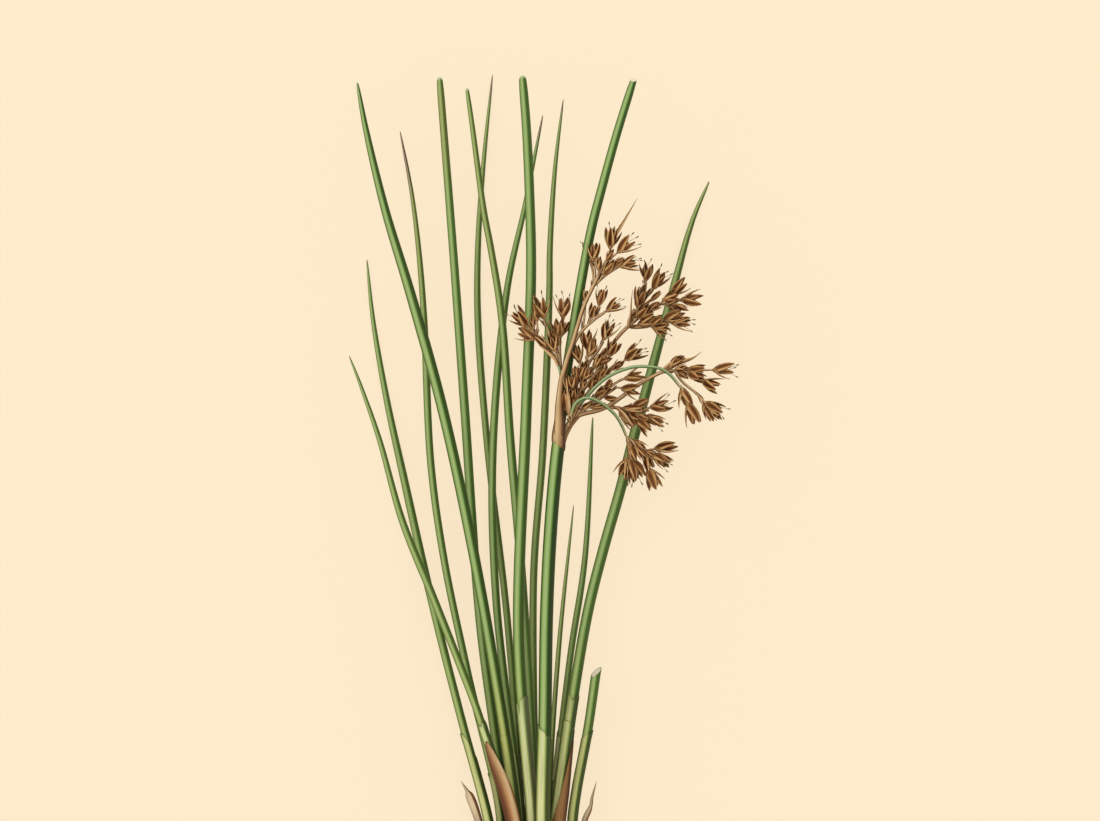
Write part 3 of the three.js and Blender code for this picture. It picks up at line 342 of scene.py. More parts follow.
class Route:
    """A centripetal curve through points, walked by distance."""

    def __init__(self, points):
        p = np.array(points, float)
        p = np.vstack([2 * p[0] - p[1], p, 2 * p[-1] - p[-2]])
        t = np.linspace(0, 1, ROUTE_STEPS, endpoint=False)[:, None]
        rows = []
        for a, b, c, d in zip(p, p[1:], p[2:], p[3:]):
            g0, g1, g2 = (np.linalg.norm(e - f) ** 0.5 for e, f in ((b, a), (c, b), (d, c)))
            out = ((b - a) / g0 - (c - a) / (g0 + g1) + (c - b) / g1) * g1
            into = ((c - b) / g1 - (d - b) / (g1 + g2) + (d - c) / g2) * g1
            rows.append(b + out * t + (3 * (c - b) - 2 * out - into) * t**2
                        + (2 * (b - c) + out + into) * t**3)
        self.points = np.vstack([*rows, p[-2:-1]])
        steps_mm = np.linalg.norm(np.diff(self.points, axis=0), axis=1)
        self.walked = np.concatenate([[0], np.cumsum(steps_mm)])
        self.length = self.walked[-1]

    def at(self, distance):
        return np.stack([np.interp(distance, self.walked, self.points[:, k]) for k in range(3)], axis=-1)

    def frame(self, distance):
        """Its place, direction, and the two directions across it: to the right, and up."""
        distance = np.asarray(distance, float)
        ahead = self.at(np.minimum(distance + 0.1, self.length))
        tangent = unit(ahead - self.at(np.maximum(distance - 0.1, 0)))
        side = unit(np.cross(tangent, UP))
        return self.at(distance), tangent, side, np.cross(side, tangent)


# ---- Meshes ----
def plain_mesh(name, points, faces, attributes=None, edges=()):
    """A mesh of points in millimetres, with its faces turned outwards and its point attributes."""
    mesh = bpy.data.meshes.new(name)
    points = np.asarray(points, float)
    if len(faces) and enclosed_volume(points, faces) < 0:
        faces = [face[::-1] for face in faces]
    mesh.from_pydata((points * MM).tolist(), list(edges), faces)
    for key, values in (attributes or {}).items():
        values = np.asarray(values, float)
        kind, field = ("FLOAT", "value") if values.ndim == 1 else ("FLOAT_VECTOR", "vector")
        mesh.attributes.new(key, kind, "POINT").data.foreach_set(field, values.ravel())
    mesh.shade_smooth()
    mesh.validate()
    return mesh


def enclosed_volume(points, faces):
    total = 0.0
    for face in faces:
        first = points[face[0]]
        for b, c in zip(face[1:], face[2:]):
            total += np.dot(first, np.cross(points[b], points[c]))
    return total / 6


def linked(name, mesh, material=None):
    obj = bpy.data.objects.new(name, mesh)
    bpy.context.scene.collection.objects.link(obj)
    if material:
        obj.data.materials.append(material)
    return obj


def lofted_faces(rows, sides, shut=True, ringed=False):
    """The faces between rows of points, each row a closed ring. A ringed loft's last row meets its first."""
    faces = []
    for j in range(rows if ringed else rows - 1):
        for i in range(sides):
            a, b = j * sides, ((j + 1) % rows) * sides
            k = (i + 1) % sides
            faces.append([a + i, a + k, b + k, b + i])
    if shut and not ringed:
        faces.append(list(range(sides))[::-1])
        faces.append([(rows - 1) * sides + i for i in range(sides)])
    return faces


def with_modifier(obj, tree, **values):
    """Runs a node tree on an object, with its inputs by name, and keeps the result as a plain mesh."""
    modifier = obj.modifiers.new(tree.name, "NODES")
    modifier.node_group = tree
    sockets = {s.name: s.identifier for s in tree.interface.items_tree if s.in_out == "INPUT"}
    for key, value in values.items():
        modifier[sockets[key.replace("_", " ")]] = value
    depsgraph = bpy.context.evaluated_depsgraph_get()
    mesh = bpy.data.meshes.new_from_object(
        obj.evaluated_get(depsgraph), preserve_all_data_layers=True, depsgraph=depsgraph)
    obj.modifiers.clear()
    obj.data = mesh
    mesh.name = obj.name
    mesh.shade_smooth()
    return obj


# ---- Nodes ----
def linear(sheet_hex):
    """An sRGB hex colour as linear red, green, blue and alpha."""
    parts = [int(sheet_hex[i:i + 2], 16) / 255 for i in (1, 3, 5)]
    return (*[c / 12.92 if c <= 0.04045 else ((c + 0.055) / 1.055) ** 2.4 for c in parts], 1.0)


def add(tree, kind, inputs=None, stops=None, out=0, **settings):
    """Adds a node with its settings, its stops if it is a colour ramp, and its values or links, and gives one
    of its outputs. By number, a Map Range's inputs are its value, the range that it comes from and the one
    that it goes to (0 to 4), and a Mix's are its share and its two colours (0, 6 and 7)."""
    made = tree.nodes.new(kind)
    for key, value in settings.items():
        setattr(made, key, value)
    if stops:
        ramp = made.color_ramp.elements
        while len(ramp) < len(stops):
            ramp.new(1.0)
        for element, (place, colour) in zip(ramp, stops):
            element.position = place
            element.color = linear(colour)
    for key, value in (inputs or {}).items():
        if isinstance(value, bpy.types.NodeSocket):
            tree.links.new(value, made.inputs[key])
        else:
            made.inputs[key].default_value = value
    return made.outputs[out]


def node_tree(name, inputs):
    """An empty geometry tree with the named inputs: the tree, those inputs' sockets, and its result's."""
    tree = bpy.data.node_groups.new(name, "GeometryNodeTree")
    for key, kind in {"Geometry": "NodeSocketGeometry", **inputs}.items():
        tree.interface.new_socket(key, in_out="INPUT", socket_type=kind)
    tree.interface.new_socket("Geometry", in_out="OUTPUT", socket_type="NodeSocketGeometry")
    return tree, tree.nodes.new("NodeGroupInput").outputs, tree.nodes.new("NodeGroupOutput").inputs[0]


def swept_tubes(tree, lines, sides, depth, flatness, material):
    """Tubes along the edges of `lines`, by their point attribute `radius`, finely ribbed lengthwise."""
    radius = add(tree, "GeometryNodeInputNamedAttribute", {"Name": "radius"}, data_type="FLOAT")
    curves = add(tree, "GeometryNodeMeshToCurve", {"Mesh": lines})
    level = add(tree, "GeometryNodeSetCurveNormal", {"Curve": curves}, mode="Z_UP")
    circle = add(tree, "GeometryNodeCurvePrimitiveCircle", {"Resolution": sides, "Radius": 1.0})
    place = add(tree, "GeometryNodeInputPosition")
    upright = add(tree, "ShaderNodeVectorMath", {0: place, 1: (1.0, -1.0, 0.0)}, operation="MULTIPLY")
    rim = add(tree, "GeometryNodeStoreNamedAttribute", {"Geometry": circle, "Name": "rim", "Value": upright},
              data_type="FLOAT_VECTOR", domain="POINT")
    index = add(tree, "GeometryNodeInputIndex")
    odd = add(tree, "ShaderNodeMath", {0: index, 1: 2.0}, operation="MODULO")
    dip = add(tree, "ShaderNodeMath", {0: odd, 1: depth}, operation="MULTIPLY")
    full = add(tree, "ShaderNodeMath", {0: 1.0, 1: dip}, operation="SUBTRACT")
    ribbed = add(tree, "ShaderNodeVectorMath", {0: place, "Scale": full}, operation="SCALE")
    squeeze = add(tree, "ShaderNodeCombineXYZ", {"X": 1.0, "Y": flatness, "Z": 1.0})
    section = add(tree, "ShaderNodeVectorMath", {0: ribbed, 1: squeeze}, operation="MULTIPLY")
    profile = add(tree, "GeometryNodeSetPosition", {"Geometry": rim, "Position": section})
    tubes = add(tree, "GeometryNodeCurveToMesh",
                {"Curve": level, "Profile Curve": profile, "Scale": radius, "Fill Caps": True})
    made = add(tree, "GeometryNodeRealizeInstances", {"Geometry": tubes})
    return add(tree, "GeometryNodeSetMaterial", {"Geometry": made, "Material": material})


def stalk_tree():
    """Ribbed tubes along the object's edges."""
    tree, given, result = node_tree("ribbed_stalks", {
        "Sides": "NodeSocketInt", "Rib Depth": "NodeSocketFloat", "Flatness": "NodeSocketFloat",
        "Material": "NodeSocketMaterial"})
    tubes = swept_tubes(tree, *(given[k] for k in ("Geometry", "Sides", "Rib Depth", "Flatness", "Material")))
    tree.links.new(tubes, result)
    return tree


TWIG_RIB_DEPTH = 0.06
# What a spray carries at its marked points: the mark, and the names of the inputs for its form and material.
CARRIED = (("floret", "Florets", "Tepal Material"), ("capsule", "Capsule", "Capsule Material"),
           ("stamens", "Stamens", "Stamen Material"), ("fork", "Fork Bract", "Twig Material"))


def spray_tree():
    """Twigs along the object's edges, and florets, capsules, stamens and fork bracts at its marked points."""
    inputs = {"Sides": "NodeSocketInt", "Florets": "NodeSocketCollection"}
    for _, form, material in CARRIED:
        inputs.setdefault(form, "NodeSocketObject")
        inputs[material] = "NodeSocketMaterial"
    tree, given, result = node_tree("panicle_spray", inputs)
    twigs = swept_tubes(tree, given["Geometry"], given["Sides"], TWIG_RIB_DEPTH, 1.0, given["Twig Material"])
    joined = add(tree, "GeometryNodeJoinGeometry", {0: twigs})
    turn = add(tree, "GeometryNodeInputNamedAttribute", {"Name": "turn"}, data_type="FLOAT_VECTOR")
    rotation = add(tree, "FunctionNodeEulerToRotation", {0: turn})
    size = add(tree, "GeometryNodeInputNamedAttribute", {"Name": "size"}, data_type="FLOAT")
    number = add(tree, "GeometryNodeInputNamedAttribute", {"Name": "form"}, data_type="INT")
    for mark, form, material in CARRIED:
        varied = form == "Florets"
        here = add(tree, "GeometryNodeInputNamedAttribute", {"Name": mark}, data_type="FLOAT")
        chosen = add(tree, "FunctionNodeCompare", {0: here, 1: 0.5}, operation="GREATER_THAN")
        if varied:
            shape = add(tree, "GeometryNodeCollectionInfo",
                        {"Collection": given[form], "Separate Children": True, "Reset Children": True})
        else:
            shape = add(tree, "GeometryNodeObjectInfo", {"Object": given[form]}, out="Geometry")
        placed = add(tree, "GeometryNodeInstanceOnPoints", {
            "Points": given["Geometry"], "Selection": chosen, "Instance": shape, "Pick Instance": varied,
            "Instance Index": number, "Rotation": rotation, "Scale": size})
        made = add(tree, "GeometryNodeRealizeInstances", {"Geometry": placed})
        dressed = add(tree, "GeometryNodeSetMaterial", {"Geometry": made, "Material": given[material]})
        tree.links.new(dressed, joined.node.inputs[0])
    tree.links.new(joined, result)
    return tree


def rough_tree():
    """Moves each point along its normal by noise, so that a smooth lump gets pits and knobs."""
    tree, given, result = node_tree("roughened", {
        "Depth": "NodeSocketFloat", "Scale": "NodeSocketFloat", "Material": "NodeSocketMaterial"})
    place = add(tree, "GeometryNodeInputPosition")
    normal = add(tree, "GeometryNodeInputNormal")
    noise = add(tree, "ShaderNodeTexNoise", {"Vector": place, "Scale": given["Scale"], "Detail": 4.0})
    middle = add(tree, "ShaderNodeMath", {0: noise, 1: 0.5}, operation="SUBTRACT")
    push = add(tree, "ShaderNodeMath", {0: middle, 1: given["Depth"]}, operation="MULTIPLY")
    offset = add(tree, "ShaderNodeVectorMath", {0: normal, "Scale": push}, operation="SCALE")
    moved = add(tree, "GeometryNodeSetPosition", {"Geometry": given["Geometry"], "Offset": offset})
    made = add(tree, "GeometryNodeRealizeInstances", {"Geometry": moved})
    dressed = add(tree, "GeometryNodeSetMaterial", {"Geometry": made, "Material": given["Material"]})
    tree.links.new(dressed, result)
    return tree


# ---- Materials ----
def stepped(colours, places=(0.0, 0.22, 0.45, 0.72, 1.0)):
    """A ramp's stops, usually from the dark side of a stalk to its lit one."""
    return list(zip(places, colours.split()))


def new_material(name, ior, roughness, specular, **more):
    """A material and its tree, with the values that are the same all over it."""
    material = bpy.data.materials.new(name)
    material.use_nodes = True
    values = {"IOR": ior, "Roughness": roughness, "Specular IOR Level": specular, **more}
    for key, value in values.items():
        material.node_tree.nodes["Principled BSDF"].inputs[key].default_value = value
    return material, material.node_tree


def finished(material, colour, height=None, depth_mm=0.0, strength=0.6):
    """Links a material's colour and, where it has one, its relief."""
    tree = material.node_tree
    shader = tree.nodes["Principled BSDF"]
    tree.links.new(colour, shader.inputs["Base Color"])
    if height:
        bump = add(tree, "ShaderNodeBump",
                   {"Height": height, "Distance": depth_mm * MM, "Strength": strength})
        tree.links.new(bump, shader.inputs["Normal"])
    return material


def layered(tree, colour, *layers):
    """A colour under layers of others, each given as its share and its colour."""
    for share, layer in layers:
        colour = add(tree, "ShaderNodeMix", {0: share, 6: colour, 7: layer}, out=2, data_type="RGBA")
    return colour


def streaks(tree, wide, long):
    """Noise in streaks that run lengthwise on a stalk, `long` in millimetres and `wide` in the stalk's radii,
    of a millimetre or so. Real fibres are finer: these are drawn as coarse as they need to be to show."""
    rim = add(tree, "ShaderNodeAttribute", out="Vector", attribute_name="rim")
    along = add(tree, "ShaderNodeAttribute", out="Fac", attribute_name="along")
    slow = add(tree, "ShaderNodeMath", {0: along, 1: wide / long}, operation="MULTIPLY")
    lengthwise = add(tree, "ShaderNodeCombineXYZ", {2: slow})
    place = add(tree, "ShaderNodeVectorMath", {0: rim, 1: lengthwise}, operation="ADD")
    return add(tree, "ShaderNodeTexNoise",
               {"Vector": place, "Scale": 1 / wide, "Detail": 3.0, "Roughness": 0.6})


def painted_lit_side(tree, towards=(-0.5, 0.866, 0.0), cone=0.6, flank=(0.18, 0.98)):
    """1 where a stalk faces up and to the left, or another way if told, and 0 well round to its right and at
    its flanks, by its place on the rim. This is painted light and shade: the side towards the lamps is
    painted paler, and its right side, flanks and underside are painted darker."""
    rim = add(tree, "ShaderNodeAttribute", out="Vector", attribute_name="rim")
    facing = add(tree, "ShaderNodeVectorMath", {0: rim, 1: towards}, out="Value", operation="DOT_PRODUCT")
    faced = add(tree, "ShaderNodeMapRange", {0: facing, 1: cone, 2: 0.97})
    height = add(tree, "ShaderNodeSeparateXYZ", {0: rim}, out=1)
    raised = add(tree, "ShaderNodeMapRange", {0: height, 1: flank[0], 2: flank[1], 3: 0.03})
    return add(tree, "ShaderNodeMath", {0: faced, 1: raised}, operation="MULTIPLY")


# The same painted light and shade, but for thin twigs and scales, whose painted pale side is broad.
BROAD = dict(towards=(-0.72, 0.69, 0.0), cone=0.0, flank=(0.36, 0.74))
# A yellowed stalk's colours, from its painted shaded side to its painted lit side.
YELLOWED = stepped("#33420F #5A6E26 #8A9A44 #B0B45C #C9C87E")


def rush_stem_skin():
    """Live rush stem: smooth waxy skin over fine lengthwise ridges, so a soft gloss drawn out along it.
    It yellows towards its sheath, and its tip dries brown in streaks. Its colour also holds painted light and
    shade: paler up and to its left, darker round its right side, flanks and underside, and darker still on
    its far side where deep asks for painted shade."""
    material, tree = new_material("rush_stem_waxy_skin", 1.42, 0.45, 0.25)
    tone, low, dry, cap, deep = (add(tree, "ShaderNodeAttribute", out="Fac", attribute_name=key)
                                 for key in ("tone", "low", "dry", "cap", "deep"))
    # Painted light and shade round the stem, by its place on the rim; every ramp below is read along it.
    side = painted_lit_side(tree)
    fine = streaks(tree, 0.2, 16.67)
    ramps = (
        stepped("#466424 #52732E #6A8C3E #8AA85C #A6BC7C"),
        stepped("#545E26 #626E2E #7C8A3C #96A25A #ACB674"),
        YELLOWED,
        stepped("#32231A #6A5242 #98806A #B7A18A", (0.0, 0.4, 0.8, 1.0)),
        stepped("#445A30 #869A74 #E8EEE0 #FFFFFF", (0.0, 0.3, 0.62, 0.8)))
    fresh, olive, yellow, brown, shade = (add(tree, "ShaderNodeValToRGB", {0: side}, stops=stops)
                                          for stops in ramps)
    green = layered(tree, fresh, (tone, olive))
    # Painted shade: deep darkens the stem's far side further through the shade ramp.
    shaded = add(tree, "ShaderNodeMix", {0: 1.0, 6: green, 7: shade}, out=2, data_type="RGBA",
                 blend_type="MULTIPLY")
    veins = add(tree, "ShaderNodeMapRange", {0: fine, 1: 0.42, 2: 0.7, 4: 0.12})
    uneven = add(tree, "ShaderNodeMapRange", {0: fine, 1: 0.35, 2: 0.65, 3: -0.2, 4: 0.2})
    drying = add(tree, "ShaderNodeMath", {0: dry, 1: uneven}, operation="ADD")
    dried = add(tree, "ShaderNodeMapRange", {0: drying, 1: 0.2, 2: 0.85})
    colour = layered(tree, green, (deep, shaded), (low, yellow), (veins, linear("#2C4A1C")), (dried, brown),
                     (cap, linear("#D5DDB8")))
    return finished(material, colour, fine, 0.03)


def sheath_skin(name, foot_stops, mouth_stops, rim_colour, roughness, **light):
    """A dry leaf sheath: papery, finely veined, paler where it is thick and brown along its torn edge. Its
    colours run from painted shade on its right side and flanks to painted light up and to its left, or
    towards the side it is given.
    """
    material, tree = new_material(name, 1.45, roughness, 0.3)
    along, tip, fresh, more, pale = (add(tree, "ShaderNodeAttribute", out="Fac", attribute_name=key)
                                     for key in ("along", "tip", "fresh", "veins", "pale"))
    # Painted light and shade round the sheath or scale, by its place on the rim.
    side = painted_lit_side(tree, **light)
    fine = streaks(tree, 1 / 6, 18.5)
    foot, mouth, yellow = (add(tree, "ShaderNodeValToRGB", {0: side}, stops=stops)
                           for stops in (foot_stops, mouth_stops, YELLOWED))
    wander = add(tree, "ShaderNodeMapRange", {0: fine, 1: 0.3, 2: 0.7, 3: -6.0, 4: 6.0})
    place = add(tree, "ShaderNodeMath", {0: along, 1: wander}, operation="ADD")
    upper = add(tree, "ShaderNodeMapRange", {0: place, 1: 14, 2: 44})  # the foot's colour gives way, in mm
    fibres = add(tree, "ShaderNodeMapRange", {0: fine, 1: 0.46, 2: 0.6})
    share = add(tree, "ShaderNodeMath", {0: more, 1: 0.15, 2: 0.27}, operation="MULTIPLY_ADD")
    veined = add(tree, "ShaderNodeMath", {0: fibres, 1: share}, operation="MULTIPLY")
    torn = add(tree, "ShaderNodeMapRange", {0: tip, 1: 0.0, 2: 0.9, 3: 0.8, 4: 0.0})
    colour = layered(tree, foot, (upper, mouth), (fresh, yellow), (pale, linear("#EDE9B0")),
                     (veined, linear(rim_colour)), (torn, linear(rim_colour)))
    return finished(material, colour, fine, 0.06)


def twig_skin(name, dry_stops, vein, green_stops=None):
    """A thin dry stalk: matt and woody, with fine lengthwise lines. Its colours run from painted shade on its
    right side and underside to painted light on its broad upper left side.
    """
    material, tree = new_material(name, 1.45, 0.62, 0.3)
    fine = streaks(tree, 0.222, 3.7)
    # Painted light and shade round the stalk, by its place on the rim.
    side = painted_lit_side(tree, **BROAD)
    colour = add(tree, "ShaderNodeValToRGB", {0: side}, stops=dry_stops)
    if green_stops:
        share = add(tree, "ShaderNodeAttribute", out="Fac", attribute_name="green")
        colour = layered(tree, colour, (share, add(tree, "ShaderNodeValToRGB", {0: side}, stops=green_stops)))
    lines = add(tree, "ShaderNodeMapRange", {0: fine, 1: 0.45, 2: 0.62, 4: 0.3})
    return finished(material, layered(tree, colour, (lines, linear(vein))), fine, 0.05)


TEPAL_HALF_WIDTH, TEPAL_HEIGHT = 0.84, 4.2
TEPAL_LINE = (0.12, 3.5)  # how wide and how long the lines on it are
FLORETS_APART = 40.0  # how far the lines of one floret are from the next one's, in the noise


def tepal_skin():
    """Rush tepal: stiff and papery, dark along its middle, chestnut beside it and pale at its thin edges."""
    material, tree = new_material("rush_tepal_papery", 1.45, 0.6, 0.15)
    across, up, tone, pale, inside = (add(tree, "ShaderNodeAttribute", out="Fac", attribute_name=key)
                                      for key in ("across", "up", "tone", "pale", "inside"))
    place = add(tree, "ShaderNodeCombineXYZ", {0: across, 1: up, 2: tone})
    lines = add(tree, "ShaderNodeMapping", {0: place, "Scale": (
        TEPAL_HALF_WIDTH / TEPAL_LINE[0], TEPAL_HEIGHT / TEPAL_LINE[1], FLORETS_APART)})
    noise = add(tree, "ShaderNodeTexNoise", {"Vector": lines, "Scale": 1.0, "Detail": 2.0})
    ragged = add(tree, "ShaderNodeMath", {0: noise, 1: 0.55, 2: -0.27}, operation="MULTIPLY_ADD")
    outer = add(tree, "ShaderNodeMath", {0: across}, operation="ABSOLUTE")
    where = add(tree, "ShaderNodeMath", {0: outer, 1: ragged}, operation="ADD")
    body = add(tree, "ShaderNodeValToRGB", {0: where}, stops=stepped(
        "#240C03 #421C06 #7A4418 #BC8244 #EEC68C #D8AE74 #8A5C30", (0.0, 0.2, 0.4, 0.58, 0.8, 0.93, 1.0)))
    foot = add(tree, "ShaderNodeMapRange", {0: up, 1: 0.0, 2: 0.35, 3: 0.5, 4: 0.0})
    light = add(tree, "ShaderNodeMapRange", {0: tone, 4: 0.3})
    # Painted shade: the inner face of each tepal is darkened, as shade inside the floret's cup.
    dark = add(tree, "ShaderNodeMapRange", {0: inside, 1: 0.1, 2: 0.8, 4: 0.75})
    colour = layered(tree, body, (foot, linear("#A87848")), (light, linear("#B07A48")),
                     (dark, linear("#3A1C0C")), (pale, linear("#BD9162")))
    return finished(material, colour, noise, 0.04)


def lengthwise_skin(name, ior, roughness, specular, stops):
    """A skin whose colour only changes from its foot to its tip."""
    material, tree = new_material(name, ior, roughness, specular)
    up = add(tree, "ShaderNodeAttribute", out="Fac", attribute_name="up")
    return finished(material, add(tree, "ShaderNodeValToRGB", {0: up}, stops=stops))


PITH_CELL = 0.2381


def pith_skin():
    """Rush pith: dry white foam of star-shaped cells, so dull and finely pitted."""
    material, tree = new_material("rush_pith_foam", 1.35, 0.9, 0.1)
    place = add(tree, "ShaderNodeTexCoord", out="Object")
    cells = add(tree, "ShaderNodeTexVoronoi", {"Vector": place, "Scale": 1 / (PITH_CELL * MM)})
    colour = add(tree, "ShaderNodeValToRGB", {0: cells},
                 stops=stepped("#FFF9EA #F1E6CC #D9C9A6", (0.0, 0.6, 1.0)))
    return finished(material, colour, cells, 0.08)


def bark_skin(name, colours, wrinkle_mm, depth_mm):
    """Rhizome or root skin: dull dead tissue, wrinkled, darker in its folds."""
    scale = 1 / (wrinkle_mm * MM)
    material, tree = new_material(name, 1.45, 0.85, 0.2)
    place = add(tree, "ShaderNodeTexCoord", out="Object")
    coarse = add(tree, "ShaderNodeTexNoise",
                 {"Vector": place, "Scale": scale, "Detail": 6.0, "Roughness": 0.65})
    fine = add(tree, "ShaderNodeTexNoise", {"Vector": place, "Scale": scale * 6, "Detail": 3.0})
    both = add(tree, "ShaderNodeMath", {0: coarse, 1: fine}, operation="MULTIPLY")
    colour = add(tree, "ShaderNodeValToRGB", {0: both}, stops=stepped(colours, (0.12, 0.25, 0.4)))
    return finished(material, colour, both, depth_mm, 0.8)


SCALE_PLACES = (0.0, 0.35, 0.65, 0.86, 1.0)
WITHERED_PLACES = (0.0, 0.35, 0.65, 1.0)
DARK_PLACES = (0.0, 0.4, 0.75, 1.0)
STEM = rush_stem_skin()
# The ramps of the sheath and the scales run from painted shade to painted light; a towards that is given is
# the direction of their painted light.
SHEATH = sheath_skin("leaf_sheath_papery_green", stepped("#38430F #6E7A38 #A6AE60 #D4D590 #E4E3AA"),
                     stepped("#2C421A #4F6A2C #869C52 #AEBC74 #C6D094"), "#56622E", 0.5)
SCALE = sheath_skin("scale_leaf_papery_brown",
                    stepped("#5C3417 #87552F #AE7C4C #CB9F6E #DAB98A", SCALE_PLACES),
                    stepped("#875B36 #B08352 #CDA574 #DBB684 #E2C596", SCALE_PLACES), "#55301A", 0.6,
                    **{**BROAD, "towards": (0.75, 0.66, 0.0)})
DARK_SCALE = sheath_skin("scale_leaf_papery_dark", stepped("#3A200E #5A3418 #774A24 #916838", DARK_PLACES),
                         stepped("#442A16 #643C1C #84582A #9C7640", DARK_PLACES), "#2E180C", 0.6,
                         **{**BROAD, "towards": (0.2, 0.98, 0.0)})
WITHERED = sheath_skin("scale_leaf_withered", stepped("#8A5C34 #B48C5E #E2C79E #F0DDB8", WITHERED_PLACES),
                       stepped("#8A5C34 #B89264 #E4CBA4 #F2E0BE", WITHERED_PLACES), "#5E4028", 0.75, **BROAD)
# The ramps of the strap, the twigs and the bracteoles run from painted shade to painted light.
STRAP = twig_skin("panicle_axis_dry", stepped("#4C3018 #8C6136 #C49C68 #DCBB8C", (0.0, 0.3, 0.65, 1.0)),
                  "#5A3A20")
TWIG = twig_skin("panicle_twig_dry", stepped("#5C3A1E #A87A4A #D8AE7A #EACA9C", (0.0, 0.25, 0.6, 1.0)),
                 "#6A4626", stepped("#35502A #64844C #93AC72 #B4C694", (0.0, 0.35, 0.75, 1.0)))
TEPAL = tepal_skin()
# Seed capsule: hard, smooth and glossy, chestnut darkening to its point.
CAPSULE = lengthwise_skin("rush_capsule_glossy", 1.5, 0.3, 0.5,
                          stepped("#9A6834 #7A4820 #4C2814", (0.0, 0.6, 1.0)))
# Stamens: dull thread-like filaments and mealy anthers.
STAMEN = lengthwise_skin("rush_stamen_mealy", 1.4, 0.7, 0.3,
                         stepped("#A89A7E #857A62 #6B5F44", (0.0, 0.7, 0.82)))
PITH = pith_skin()
RHIZOME = bark_skin("rhizome_dead_bark", "#2C1A10 #5B3B24 #8A6542", 1.111, 0.35)
ROOT = bark_skin("root_wrinkled_skin", "#6B4A2E #A27C52 #C8A577", 0.625, 0.15)
STALKS = stalk_tree()
SPRAY = spray_tree()


# ---- Stems ----
def stem_radius(stem, distance, length):
    from_end = length - distance
    from_tip = np.clip(from_end / stem["taper"], 0, 1)
    if stem["tip"] == "point":
        return np.maximum(stem["radius"] * from_tip ** stem["power"], FINEST_RADIUS)
    if stem["tip"] == "flat":
        return stem["radius"] * narrowed(from_end, *FLAT_END)
    if stem["tip"] == "cut":
        return np.full_like(distance, stem["radius"])
    radius = stem["radius"] * (stem["share"] + (1 - stem["share"]) * from_tip**BLUNT_POWER)
    radius *= narrowed(from_end, *BLUNT_END)
    if stem["cut"]:
        return radius
    dome = BLUNT_DOME * stem["share"] * stem["radius"]
    into = np.clip((dome - from_end) / dome, 0, 0.985)
    return radius * np.sqrt(1 - into**2)


def narrowed(from_end, reach, share):
    return share + (1 - share) * np.clip(from_end / reach, 0, 1)


def stalk_lines(route, distances, radii, **attributes):
    """The points of one stalk, with the attributes that its tube and its material read."""
    count = len(distances)
    rows = {"radius": np.asarray(radii) * MM, "along": distances, "tip": route.length - distances}
    rows.update({key: np.broadcast_to(value, count) for key, value in attributes.items()})
    return route.at(distances), rows


def joined_stalks(stalks):
    """The points, edges and attributes of several stalks, from the pairs that stalk_lines gives."""
    edges, start = [], 0
    for points, _ in stalks:
        edges += [(start + i, start + i + 1) for i in range(len(points) - 1)]
        start += len(points)
    rows = {key: np.concatenate([row[key] for _, row in stalks]) for key in stalks[0][1]}
    return np.vstack([points for points, _ in stalks]), edges, rows


def stalks_mesh(name, stalks):
    points, edges, rows = joined_stalks(stalks)
    return plain_mesh(name, points, [], rows, edges)


def sloped(stem, across, up):
    """How far a cut stem's end face lies before the end of its route, by the place on the face."""
    slope_across, slope_up = stem["cut"]
    return (across - stem["radius"]) * slope_across - up * slope_up


def green_stem(name, stem):
    """A stem: a ribbed tube along its path, with its colours' shares by the distance, and its cut face."""
    route = Route(stem["path"])
    tip, cut = stem["tip"], stem["cut"]
    rounded = tip == "blunt" and not cut
    if tip == "flat":
        near_tip = FLAT_TIP_SECTIONS
    elif cut:
        near_tip = (2.5 * sum(cut) * stem["radius"] + 1, 0)
    else:
        near_tip = ROUND_TIP_SECTIONS
    near_tip = route.length - np.array(near_tip)
    distances = np.concatenate([np.arange(0, near_tip[0] - 1, SECTION_STEP), near_tip])
    from_tip = route.length - distances
    tone = stem["tone"]
    if isinstance(tone, list):
        tone = np.interp(distances, *zip(*tone))
    by_sheath = stem["yellow"] * np.clip(1 - (distances - stem["mouth"]) / YELLOW_REACH, 0, 1) ** 1.3
    by_node = np.clip(0.75 - from_tip / YELLOW_NODE, 0, 1) if tip == "flat" else 0.0
    line = stalk_lines(
        route, distances, stem_radius(stem, distances, route.length), tone=tone, deep=stem["deep"],
        low=np.maximum(by_sheath, by_node),
        dry=np.clip(1.25 - from_tip / stem["dry"], 0, 1) if stem["dry"] else -1.0,
        cap=np.clip(1 - from_tip / PALE_CAP, 0, 1) if rounded else 0.0)
    obj = linked(name, stalks_mesh(name, [line]))
    with_modifier(obj, STALKS, Sides=36, Rib_Depth=0.014, Flatness=1.0, Material=STEM)
    if cut:
        at, tangent, side, up = route.frame(route.length)
        for vertex in obj.data.vertices:
            p = np.array(vertex.co) / MM - at
            if p @ tangent > -0.3:
                vertex.co = Vector((p + at + tangent * sloped(stem, p @ side, p @ up)) * MM)
    return obj


def cut_pith(name, stem):
    """The pale pith in a cut face: a low dome with a soft uneven top, inside a rim of green skin."""
    route = Route(stem["path"])
    at, tangent, side, up = route.frame(route.length)
    full = stem_radius(stem, np.array([route.length - 1.5]), route.length)[0]
    sides, rows = 28, [(0.86, -0.5), (0.86, 0.03), (0.8, 0.1), (0.55, 0.14), (0.3, 0.12), (0.05, 0.14)]
    points = []
    for share, lift in rows:
        for i in range(sides):
            angle = i * 2 * math.pi / sides
            radius = share * full * (1 + 0.02 * math.sin(5 * angle + 9 * share))
            across, high = radius * math.cos(angle), radius * math.sin(angle)
            points.append(at + side * across + up * high + tangent * (sloped(stem, across, high) + lift))
    return linked(name, plain_mesh(name, points, lofted_faces(len(rows), sides)), PITH)


